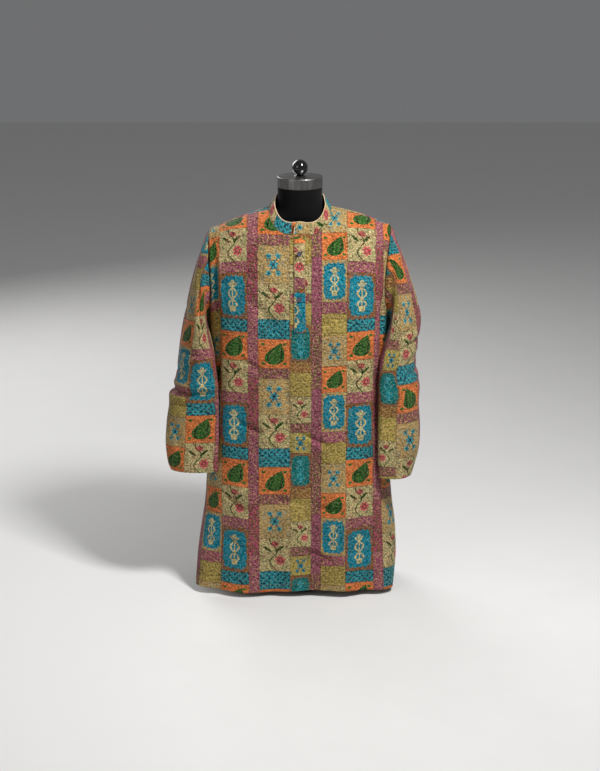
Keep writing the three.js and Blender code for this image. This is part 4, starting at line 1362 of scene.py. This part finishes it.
    def runs(self) -> list:
        """Stitches of the cuff's hem."""
        turned_over = slice(None, None, -1)
        rising = self.flat[turned_over, :-1, 1]
        line, out = line_at(self.points[turned_over], self.normals[turned_over], rising, CUFF_HEM_WIDTH)
        return [StitchRun(np.concatenate([line, line[:2]]), np.concatenate([out, out[:2]]))]


# ---- collar

COLLAR_PLACES = 24
COLLAR_CORNER = 15.0
COLLAR_ROUNDING = 1.2
COLLAR_HEIGHT, COLLAR_FRONT_DROP = 31, 2
COLLAR_LEAN, COLLAR_FRONT_LEAN, COLLAR_BACK_LEAN = 20, 7, -11
COLLAR_ROLL, COLLAR_ROLL_FROM = 0.9, 0.97
COLLAR_WAVE, COLLAR_WAVE_LENGTH, COLLAR_STITCHES = 0.35, 19, (0.08, 0.92)


@dataclass(frozen=True)
class LapGap:
    """The hollow under the collar's lap end: its place and level with their breadths, and its depths."""

    place: float = -1.42
    level: float = 0.34
    breadth: float = 0.32
    depth: float = 11.0
    wide_place: float = -1.0
    wide_breadth: float = 0.9
    wide_depth: float = 2.6


LAP_GAP = LapGap()


@dataclass
class Collar:
    """The standing band: it starts at its lower end, goes round the neck and laps over itself in front."""

    levels: int = 15
    per_place: int = 8

    def neckline(self, places: Array) -> Array:
        """Points of the neckline at places counted round the neck."""
        at = np.mod(places, COLLAR_PLACES)
        k = np.where(at <= 6, at, np.where(at <= 18, 12 - at, at - 24))
        step = np.full_like(at, ARMHOLE_STEPS)
        behind = (at > 6) & (at < 18)
        return np.where(behind[:, None], upper_points("back", k, step), upper_points("front", k, step))

    def surface(self) -> tuple:
        """Outer points, from the foot up, and the distance along and up the band."""
        end_places = 1 - np.linspace(0, 1, 25) ** 1.8
        over = -COLLAR_PLACES - end_places[::-1]
        places = np.concatenate([np.linspace(1, -COLLAR_PLACES, (COLLAR_PLACES + 1) * self.per_place), over[1:]])
        foot = self.neckline(places)
        lap = np.linalg.norm(self.neckline(np.ones(1)) - self.neckline(-np.ones(1)))
        to_front = np.clip(-foot[:, 1] / NECK_DEPTH["front"], -1, 1)
        lean = COLLAR_LEAN - np.where(to_front > 0, COLLAR_FRONT_LEAN, COLLAR_BACK_LEAN) * to_front
        inward = unit(-foot * np.array([1, 1, 0]))
        rise = inward * lean[:, None]
        rise[:, 2] = COLLAR_HEIGHT - COLLAR_FRONT_DROP * to_front
        height = np.linalg.norm(rise, axis=1)
        from_end = np.clip((places + COLLAR_PLACES + 1) * lap / 2, 0, COLLAR_CORNER)
        cut = COLLAR_CORNER - np.sqrt(np.maximum(COLLAR_CORNER ** 2 - (COLLAR_CORNER - from_end) ** 2, 0))
        level = np.append(np.linspace(0, COLLAR_ROLL_FROM, self.levels - 1), 1)[:, None]
        up = GAP + level * (height - GAP - cut)[None, :]
        under = (1 - smoothstep(-places, 1, 4))[None, :] * (BAND_WALL + GAP)
        shift = under - COLLAR_ROUNDING * np.sin(np.pi * level)
        along = run_lengths(foot, 0)
        shift -= COLLAR_WAVE * np.sin(along / COLLAR_WAVE_LENGTH) * np.sin(np.pi * level)
        shift += COLLAR_ROLL * np.maximum(level - COLLAR_ROLL_FROM, 0) / (1 - COLLAR_ROLL_FROM)
        gap = LAP_GAP
        shift += gap.depth * bell(places, gap.place, gap.breadth) * bell(level, gap.level, gap.breadth)
        shift += gap.wide_depth * bell(places, gap.wide_place, gap.wide_breadth) * (places < 0)
        points = foot[None] + rise[None] * (up / height)[..., None] + inward[None] * shift[..., None]
        return points, along[None, :] + 0 * level, up

    def cloth(self) -> ClothGrid:
        """The band as a grid of cloth."""
        points, along, up = self.surface()
        # The top row and the lap end's last 1.3 mm take the third finish: a pale painted highlight along the fold.
        edge_highlight_faces = (along[-1:, 1:] > along[-1, -1] - 1.3) | (np.arange(1, self.levels) == self.levels - 1)[:, None]
        return ClothGrid("collar", points, np.stack([along, up], axis=-1), flip=True, edge_highlight_faces=edge_highlight_faces)

    def runs(self) -> list:
        """Stitches along the foot and the upper edge of the band."""
        points, _, up = self.surface()
        normals = grid_normals(points, False, True)
        return [StitchRun(*line_at(points, normals, up / up[-1:], share), pitch=3.0, length=2.2)
                for share in COLLAR_STITCHES]


# ---- buttons

BUTTON = {"radius": 5.6, "height": 2.6}
RIM, RIM_SLOPE, DISH = 0.24, 0.08, 0.3
HOLE_REACH, HOLE_RADIUS, THREAD_RADIUS = 0.24, 0.085, 0.16


@dataclass
class Button:
    """A four-hole shirt button with its thread, on the placket."""

    name: str
    z: float
    front: BodyPanel

    def place(self) -> Matrix:
        """Where the button sits: its axis along the cloth's normal."""
        middle = len(self.front.columns) // 2
        column, normals = self.front.points[:, middle], self.front.normals[:, middle]
        point = Vector([np.interp(self.z, column[:, 2], column[:, n]) for n in range(3)])
        normal = Vector([np.interp(self.z, column[:, 2], normals[:, n]) for n in range(3)]).normalized()
        turn = normal.to_track_quat("Z", "Y").to_matrix().to_4x4()
        return Matrix.Translation((point + normal * (2 * GAP + BAND_WALL + 0.1)) * MM) @ turn

    def build(self, finish: Material, thread: Material) -> list:
        """Make the button and its thread."""
        radius, height = BUTTON["radius"] * MM, BUTTON["height"] * MM
        bpy.ops.mesh.primitive_cylinder_add(vertices=48, radius=radius, depth=height, location=(0, 0, height / 2))
        disc = bpy.context.object
        disc.name = disc.data.name = f"{self.name}_shown"
        bpy.ops.object.transform_apply(location=True)
        self.dish(disc, radius, height)
        self.pierce(disc, radius, height)
        bevel = disc.modifiers.new("edges", "BEVEL")
        bevel.width, bevel.segments, bevel.limit_method = 0.25 * MM, 3, "ANGLE"
        apply_modifiers(disc)
        disc.data.transform(self.place())
        bpy.ops.object.shade_smooth_by_angle(angle=math.radians(35))
        disc.data.materials.append(finish)
        return [disc, self.sewing(thread, radius, height)]

    def dish(self, disc: Object, radius: float, height: float) -> None:
        """Sink the middle of the button's face inside a rounded rim."""
        with editing(disc):
            bpy.ops.mesh.select_mode(type="FACE")
            bpy.ops.mesh.select_all(action="DESELECT")
        for face in disc.data.polygons:
            face.select = face.normal.z > 0.9
        with editing(disc):
            bpy.ops.mesh.inset(thickness=radius * RIM, depth=0)
            bpy.ops.mesh.inset(thickness=radius * RIM_SLOPE, depth=-height * DISH)

    def pierce(self, disc: Object, radius: float, height: float) -> None:
        """Cut the four holes."""
        for n in range(4):
            angle = math.pi / 4 + n * math.pi / 2
            where = (HOLE_REACH * radius * math.cos(angle), HOLE_REACH * radius * math.sin(angle), height / 2)
            bpy.ops.mesh.primitive_cylinder_add(vertices=16, radius=HOLE_RADIUS * radius, depth=3 * height,
                                                location=where)
            cutter = bpy.context.object
            cut = disc.modifiers.new("hole", "BOOLEAN")
            cut.operation, cut.object = "DIFFERENCE", cutter
            apply_modifiers(disc)
            bpy.data.objects.remove(cutter, do_unlink=True)

    def sewing(self, thread: Material, radius: float, height: float) -> Object:
        """Two threads that cross between the holes."""
        curve = bpy.data.curves.new(f"{self.name}_thread", "CURVE")
        curve.dimensions, curve.bevel_depth, curve.bevel_resolution = "3D", THREAD_RADIUS * MM, 2
        t = np.linspace(-1, 1, 13)
        x = HOLE_REACH * radius * t
        z = height * 0.72 + height * 0.16 * np.sqrt(np.maximum(1 - t ** 4, 0))
        for angle in (math.pi / 4, -math.pi / 4):
            for aside in (-0.02, 0.02):
                strand = np.stack([x * math.cos(angle) - aside * radius * math.sin(angle),
                                   x * math.sin(angle) + aside * radius * math.cos(angle), z], axis=1)
                spline = curve.splines.new("POLY")
                spline.points.add(len(strand) - 1)
                for point, place in zip(spline.points, strand):
                    point.co = (*place, 1)
        piece = linked(f"{self.name}_thread", curve)
        activate(piece)
        bpy.ops.object.convert(target="MESH")
        piece = bpy.context.object
        piece.data.transform(self.place())
        piece.data.materials.clear()
        piece.data.materials.append(thread)
        return piece


# ---- dress form

FORM_ROWS = Table(
    "z wide front back midY drop",
    (388, 128, 76, 80, 0, 0),
    (392, 140, 85, 89, 0, 0),
    (420, 151, 92, 95, 0, 0),
    (480, 161, 97, 97, 0, 0),
    (560, 154, 94, 92, 0, 0),
    (640, 143, 90, 84, 0, 0),
    (720, 152, 95, 88, 0, 0),
    (800, 168, 101, 96, 0, 0),
    (860, 182, 101, 98, 0, 0),
    (910, 195, 93, 97, 0, 4),
    (948, 204, 83, 92, 0, 12),
    (974, 205, 72, 85, 0, 16),
    (993, 196, 61, 76, 0, 13),
    (1002, 170, 54, 67, 0, 4),
    (1008, 138, 53, 60, 0, -4),
    (1014, 102, 53, 54, 0, -7),
    (1022, 77, 54, 50, -2, -8),
    (1034, 66, 55, 50, -4, -7),
    (1052, 59, 56, 53, -8, -2),
    (1076, 57, 57, 56, -12, 0),
    (1096.7, 57.5, 57.5, 57.5, -15, 0),
)


FORM_BOTTOM_Z, FORM_TOP_Z = 388, 1096.7
SHOULDER_START_Z, NECK_ROUND_Z = 990, 1060
FORM_POWER, NECK_FORM_POWER = 2.35, 2.0


def rounded_edge(radius: float, top: float, edge: float, steps: int) -> list:
    """Points (radius, height) of a disc's rounded upper edge, from its side to its face."""
    return [(radius - edge * (1 - math.sin(a)), top - edge * (1 - math.cos(a)))
            for a in np.linspace(math.pi / 2, 0, steps)]


@dataclass(frozen=True)
class NeckCapSize:
    """Size of the steel disc that closes the neck, in millimetres."""

    radius: float = 58.0
    bottom: float = 1097.0
    top: float = 1124.0
    edge: float = 1.6
    y: float = -15.0


NECK_CAP = NeckCapSize()
KNOB = {"radius": 20.5, "centre": 1146.0, "foot": 15.0, "stem": 9.0}
POLE_RADIUS = 16.0
BASE = {"radius": 96.0, "height": 12.0, "edge": 3.0}


class DressForm:
    """The limbless form that wears the kurta, with its cap, knob, pole and base."""

    def torso(self, finish: Material) -> Object:
        """The padded torso with its shoulders and neck, covered in jersey."""
        heights = np.concatenate([np.linspace(FORM_BOTTOM_Z, SHOULDER_START_Z, 70),
                                  np.linspace(SHOULDER_START_Z + 4, FORM_TOP_Z, 44)])
        angles = np.linspace(0, 2 * np.pi, 96, endpoint=False)
        row, neck = FORM_ROWS.row(heights), smoothstep(heights, SHOULDER_START_Z, NECK_ROUND_Z)[:, None]
        power = FORM_POWER - (FORM_POWER - NECK_FORM_POWER) * neck
        across, ahead = signed_power(np.sin(angles), 2 / power), signed_power(np.cos(angles), 2 / power)
        deep = np.where(ahead > 0, row["front"], row["back"])
        points = np.stack([row["wide"] * across, row["midY"] - deep * ahead,
                           heights[:, None] - row["drop"] * across ** 2], axis=-1)
        rows, sides = points.shape[:2]
        faces = joined(quads(rows, sides, True)).tolist()
        faces += [list(range(sides))[::-1], list(range((rows - 1) * sides, rows * sides))]
        piece = mesh_piece("form_torso", (points * MM).reshape(-1, 3).tolist(), faces)
        piece.data.materials.append(finish)
        activate(piece)
        bpy.ops.object.shade_smooth_by_angle(angle=math.radians(50))
        return piece

    def turned(self, name: str, profile: Sequence[tuple], y: float, steps: int,
               finish: Material) -> Object:
        """Spin a profile of (radius, height) points in millimetres about an upright axis."""
        mesh = bpy.data.meshes.new(name)
        mesh.from_pydata([(r * MM, y * MM, z * MM) for r, z in profile],
                         [(n, n + 1) for n in range(len(profile) - 1)], [])
        piece = linked(name, mesh)
        with editing(piece):
            bpy.ops.mesh.select_all(action="SELECT")
            bpy.ops.mesh.spin(steps=steps, angle=2 * math.pi, center=(0, y * MM, 0), axis=(0, 0, 1))
            bpy.ops.mesh.select_all(action="SELECT")
            bpy.ops.mesh.remove_doubles(threshold=0.01 * MM)
            bpy.ops.mesh.normals_make_consistent(inside=False)
        bpy.ops.object.shade_smooth_by_angle(angle=math.radians(40))
        piece.data.materials.append(finish)
        return piece

    def neck_cap(self, finish: Material) -> Object:
        """The turned steel disc."""
        size = NECK_CAP
        profile = [(0, size.bottom), (size.radius - 0.8, size.bottom), (size.radius, size.bottom + 0.8),
                   *rounded_edge(size.radius, size.top, size.edge, 6), (0, size.top)]
        return self.turned("form_neck_cap", profile, size.y, 96, finish)

    def knob(self, finish: Material) -> Object:
        """The ball knob on its flared foot."""
        low, radius, stem, foot = NECK_CAP.top + GAP, KNOB["radius"], KNOB["stem"], KNOB["foot"]
        start = math.pi - math.asin(stem / radius)
        ball = [(radius * math.sin(a), KNOB["centre"] + radius * math.cos(a)) for a in np.linspace(start, 0, 28)]
        ball[-1] = (0, KNOB["centre"] + radius)
        profile = [(0, low), (foot, low), (foot, low + 0.9), (foot - 0.4, low + 1.3),
                   (stem + (foot - stem) * 0.4, low + 2.0), (stem + 0.6, low + 2.6), *ball]
        return self.turned("form_knob", profile, NECK_CAP.y, 64, finish)

    def pole(self, finish: Material) -> Object:
        """The pole between base and torso."""
        low, high = BASE["height"] + GAP, FORM_BOTTOM_Z - GAP
        return self.turned("form_pole", [(0, low), (POLE_RADIUS, low), (POLE_RADIUS, high), (0, high)], 0, 64, finish)

    def base(self, finish: Material) -> Object:
        """The round base."""
        height = BASE["height"]
        upper = rounded_edge(BASE["radius"], height, BASE["edge"], 8)
        lower = [(r, height - z) for r, z in reversed(upper)]
        return self.turned("form_base", [(0, 0), *lower, *upper, (0, height)], 0, 96, finish)


# ---- creases of each piece

FRONT_CREASES = crease_table(
    (-233, 990, -226, 520, 6, -7.0, 2, Profile.SHARP),
    (-214, 960, -208, 560, 9, 3.0, 2),
    (231, 980, 228, 600, 6, -6.0, -2, Profile.SHARP),
    (212, 940, 208, 620, 9, 2.4, -2),
    (-12, 452, 92, 402, 6, -3.4, 4),
    (6, 436, 84, 384, 7, 1.8, 3),
    (10, 118, 96, 80, 6, -3.2, 4),
    (24, 96, 92, 62, 8, 1.8, 2),
    (-176, 482, -84, 446, 7, -2.6, -5),
    (-60, 474, -18, 468, 6, -2.0, 3),
    (-128, 800, -52, 706, 13, -3.0, 8),
    (-150, 872, -76, 840, 12, -2.0, 5),
    (132, 812, 58, 712, 13, -2.8, -8),
    (156, 886, 88, 846, 12, -2.0, -5),
    (-166, 646, -92, 612, 8, -2.4, 4),
    (112, 628, 182, 598, 8, -2.6, 3),
    (-44, 660, -30, 360, 11, -2.6, 6),
    (62, 716, 70, 470, 11, 2.2, -5),
    (-92, 560, -104, 300, 12, 2.0, 5),
    (130, 560, 142, 330, 11, -2.2, -4),
    (128, 338, 200, 300, 8, -2.8, 4),
    (-206, 268, -120, 226, 8, -2.6, -4),
    (-70, 262, 0, 250, 8, -2.2, 4),
    (34, 246, 118, 232, 7, -2.0, -3),
    (-210, 150, -140, 118, 8, -2.0, 3),
    (150, 168, 226, 132, 8, -2.2, -3),
)
BACK_CREASES = crease_table(
    (-230, 980, -226, 560, 6, -6.5, 3, Profile.SHARP),
    (230, 980, 228, 540, 6, -6.0, -3, Profile.SHARP),
    (-130, 940, -30, 890, 14, -3.4, 9),
    (128, 930, 36, 884, 14, -3.2, -9),
    (-150, 800, -80, 716, 13, -3.0, 6),
    (150, 786, 84, 700, 13, -2.8, -6),
    (-110, 530, -20, 492, 7, -3.0, 4),
    (30, 440, 126, 408, 7, -3.2, -4),
    (-80, 140, 14, 104, 7, -2.6, 4),
    (-160, 344, -84, 300, 8, -2.6, 4),
    (64, 740, 76, 500, 11, 2.6, 5),
    (-44, 700, -52, 420, 12, -2.2, -5),
    (150, 300, 206, 262, 8, -2.4, 3),
    (40, 250, 120, 226, 8, -2.0, -4),
)
LEFT_CREASES = crease_table(
    (-50, 372, 110, 356, 7, -5.5, 7),
    (-40, 344, 90, 330, 9, 3.2, 6),
    (-80, 306, 80, 284, 7, -5.0, -6),
    (30, 420, 130, 376, 8, -4.6, 5),
    (-30, 256, 90, 232, 8, -4.2, 7),
    (60, 560, 124, 430, 10, -4.2, 8),
    (-96, 430, -6, 390, 8, -4.2, -6),
    (24, 206, 66, 50, 10, -3.2, 8),
    (-60, 190, -30, 36, 10, 2.8, -6),
    (-150, 336, -66, 310, 8, -4.4, 5),
    (18, 640, 64, 510, 12, 2.8, 7),
    (30, 128, 96, 112, 7, -2.6, 3),
    (-120, 560, -70, 470, 11, -3.2, -6),
)
RIGHT_CREASES = crease_table(
    (-90, 226, 165, 219, 8, -8.0, 2, Profile.SHARP),
    (-90, 243, 150, 237, 10, 4.4, 2),
    (10, 338, 120, 322, 7, -6.0, 3, Profile.SHARP),
    (92, 322, 14, 258, 8, -5.4, 5, Profile.SHARP),
    (70, 330, -4, 276, 9, 3.4, 5),
    (-60, 286, 20, 268, 8, -3.8, 4),
    (0, 190, 110, 168, 9, -3.6, 6),
    (70, 530, 120, 380, 10, -4.4, 8),
    (-50, 456, 40, 404, 10, -3.8, 6),
    (20, 150, 56, 30, 10, -3.0, 7),
    (-136, 306, -56, 276, 8, -4.6, -5),
    (-116, 206, -36, 186, 8, -4.0, 5),
    (8, 640, 52, 510, 12, 2.8, 7),
    (-120, 560, -66, 468, 11, -3.2, -6),
)


# ---- the whole scene

PRINT_SHIFTS = {"front": (0.213, 0.052), "back": (0.071, 0.190), "sleeve_left": (0.118, 0.147),
                "sleeve_right": (0.287, 0.263), "collar": (0.142, 0.021), "placket": (0.039, 0.118)}


@dataclass
class Finishes:
    """All the materials, made once."""

    pattern: NodeTree = field(init=False)
    made: dict = field(default_factory=dict)

    def __post_init__(self) -> None:
        """Make the print and every finish."""
        self.pattern = PrintGroup().tree
        for name, shift in PRINT_SHIFTS.items():
            self.made[name] = [ClothFinish(f"print_{name}{end}", shift, bool(end), name != "collar").build(self.pattern)
                               for end in ("", "_reverse")]
        # The bands' folded edges get a pale plain colour: a painted highlight where the fold catches the light.
        folded = PlainFinish("painted_edge_highlight", (222, 190, 152), 0.6, grain=900, grain_depth=0.25).build()
        for name in ("collar", "placket"):
            self.made[name].append(folded)
        for finish in (
                PlainFinish("thread", (176, 132, 78), 0.6, grain=2500, sheen=0.3),
                PlainFinish("button", (84, 76, 96), 0.3, grain=260, grain_depth=0.2, bump=0.01, coat=0.3),
                PlainFinish("button_thread", (92, 74, 70), 0.6, grain=2500),
                PlainFinish("jersey", (7, 7, 8), 0.9, grain=1400, bump=0.12, sheen=0.03),
                # Steel with deep vertical bands in its colour: painted reflections of the surroundings.
                PlainFinish("steel", (150, 148, 145), 0.32, 1.0, 120, 0.75, 0.006, turned=True),
                PlainFinish("gloss", (8, 8, 9), 0.07, grain=60, grain_depth=0.05, bump=0.001, coat=1.0),
                PlainFinish("coating", (24, 25, 27), 0.45, grain=1800, bump=0.03)):
            self.made[finish.name] = [finish.build()]

    def of(self, name: str) -> list:
        """Materials of a name."""
        return self.made[name]


def enter(piece: Object, slot: str, *nodes: str) -> None:
    """Parent a finished piece under the root empty, hide the CAD parts it stands for, and log it with its slot's name.
    """
    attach(piece, "root")
    if nodes:
        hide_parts(*nodes)
    LOG.info("%s: %d faces, slot %s", piece.name, len(piece.data.polygons), slot)


@dataclass
class Garment:
    """The kurta: two body panels, two sleeves, the collar, the placket and its buttons."""

    finishes: Finishes

    def build(self) -> None:
        """Make every piece of the garment."""
        front = BodyPanel(Half.FRONT, 6, FRONT_CREASES, 0.4)
        back = BodyPanel(Half.BACK, 5, BACK_CREASES, 2.1)
        left = Sleeve(Side.LEFT, 128, 236, LEFT_CREASES, 1.3)
        right = Sleeve(Side.RIGHT, 128, 236, RIGHT_CREASES, 3.2)
        collar, placket = Collar(), Placket(front)
        cuts = ((front, CLOTH_WALL, "gathered"), (back, CLOTH_WALL, "gathered"), (left, CLOTH_WALL, "hung"),
                (right, CLOTH_WALL, "hung"), (placket, SHOWN_BAND_WALL, "folded"), (collar, SHOWN_BAND_WALL, "folded"))
        for source, wall, held in cuts:
            self.sew(source, wall, held)
        for n, z in enumerate(BUTTON_ZS, 1):
            made = Button(f"button_{n}", z, front).build(self.finishes.of("button")[0],
                                                         self.finishes.of("button_thread")[0])
            enter(made[0], "button", f"button_{n}")
            enter(made[1], "button")

    def sew(self, source: Union[BodyPanel, Sleeve, Collar, Placket], wall: float, held: str) -> None:
        grid = source.cloth()
        cloth = grid.build(wall, self.finishes.of(grid.name))
        cloth.name = cloth.data.name = f"{grid.name}_cloth"
        enter(cloth, f"cloth_{grid.name}", grid.name)
        sewn = stitches(f"{grid.name}_stitches", source.runs(), self.finishes.of("thread")[0])
        enter(sewn, f"cloth_{grid.name}")
        area = grid.area()
        size = grid.flat.reshape(-1, 2)
        wide, long = (size.max(axis=0) - size.min(axis=0)) * MM
        LOG.info("%s cut %.3f x %.3f m, area %.4f", grid.name, wide, long, area)


@dataclass(frozen=True)
class Lamp:
    """A square lamp that points at the garment's middle; its size is in metres, its power in watts."""

    name: str
    place: tuple
    size: float
    power: float

    def light(self) -> None:
        """Put the lamp in the scene."""
        light = bpy.data.lights.new(self.name, "AREA")
        light.size, light.energy = self.size, self.power
        lamp = linked(self.name, light)
        lamp.location = self.place
        lamp.rotation_euler = (Vector(LIT_POINT) - Vector(self.place)).to_track_quat("-Z", "Y").to_euler()


LIT_POINT = (0, 0, 0.8)
LAMPS = (Lamp("key", (0.85, -1.0, 2.45), 0.4, 59), Lamp("fill", (-2.2, -2.4, 2.0), 1.4, 9),
         Lamp("rim", (-1.6, 2.4, 2.1), 2.0, 42))
SKY, SKY_STRENGTH = (0.93, 0.94, 0.96, 1), 0.17
CAMERA_PLACE, CAMERA_TILT, CAMERA_LENS, CAMERA_SENSOR = (0, -4.075, 1.828), 72.7, 74.7, 36


def stage() -> None:
    """Floor, lights and camera."""
    bpy.ops.mesh.primitive_plane_add(size=14, location=(0, 2, -0.0005))
    floor = bpy.context.object
    floor.name = "floor"
    floor.data.materials.append(PlainFinish("floor", (236, 235, 233), 0.6, grain=8, grain_depth=0.02).build())
    world = bpy.context.scene.world or bpy.data.worlds.new("world")
    bpy.context.scene.world = world
    world.use_nodes = True
    background = world.node_tree.nodes["Background"]
    background.inputs[0].default_value = SKY
    background.inputs[1].default_value = SKY_STRENGTH
    for lamp in LAMPS:
        lamp.light()
    bpy.context.scene.view_settings.view_transform = "Standard"
    camera = linked("camera", bpy.data.cameras.new("camera"))
    camera.location, camera.rotation_euler = CAMERA_PLACE, (math.radians(CAMERA_TILT), 0, 0)
    camera.data.lens, camera.data.sensor_width = CAMERA_LENS, CAMERA_SENSOR
    bpy.context.scene.camera = camera


def main() -> None:
    """Build the scene."""
    logging.basicConfig(level=logging.INFO, format="%(name)s %(message)s")
    finishes = Finishes()
    Garment(finishes).build()
    form = DressForm()
    for made, name, slot in ((form.torso, "jersey", "form_cover"), (form.neck_cap, "steel", "cap_steel"),
                             (form.knob, "gloss", "knob_gloss"), (form.pole, "coating", "stand_coating"),
                             (form.base, "coating", "stand_coating")):
        node = f"form_{made.__name__}"
        piece = made(finishes.of(name)[0])
        piece.name = piece.data.name = f"{node}_shown"
        enter(piece, slot, node)
    stage()


if __name__ == "__main__":
    main()
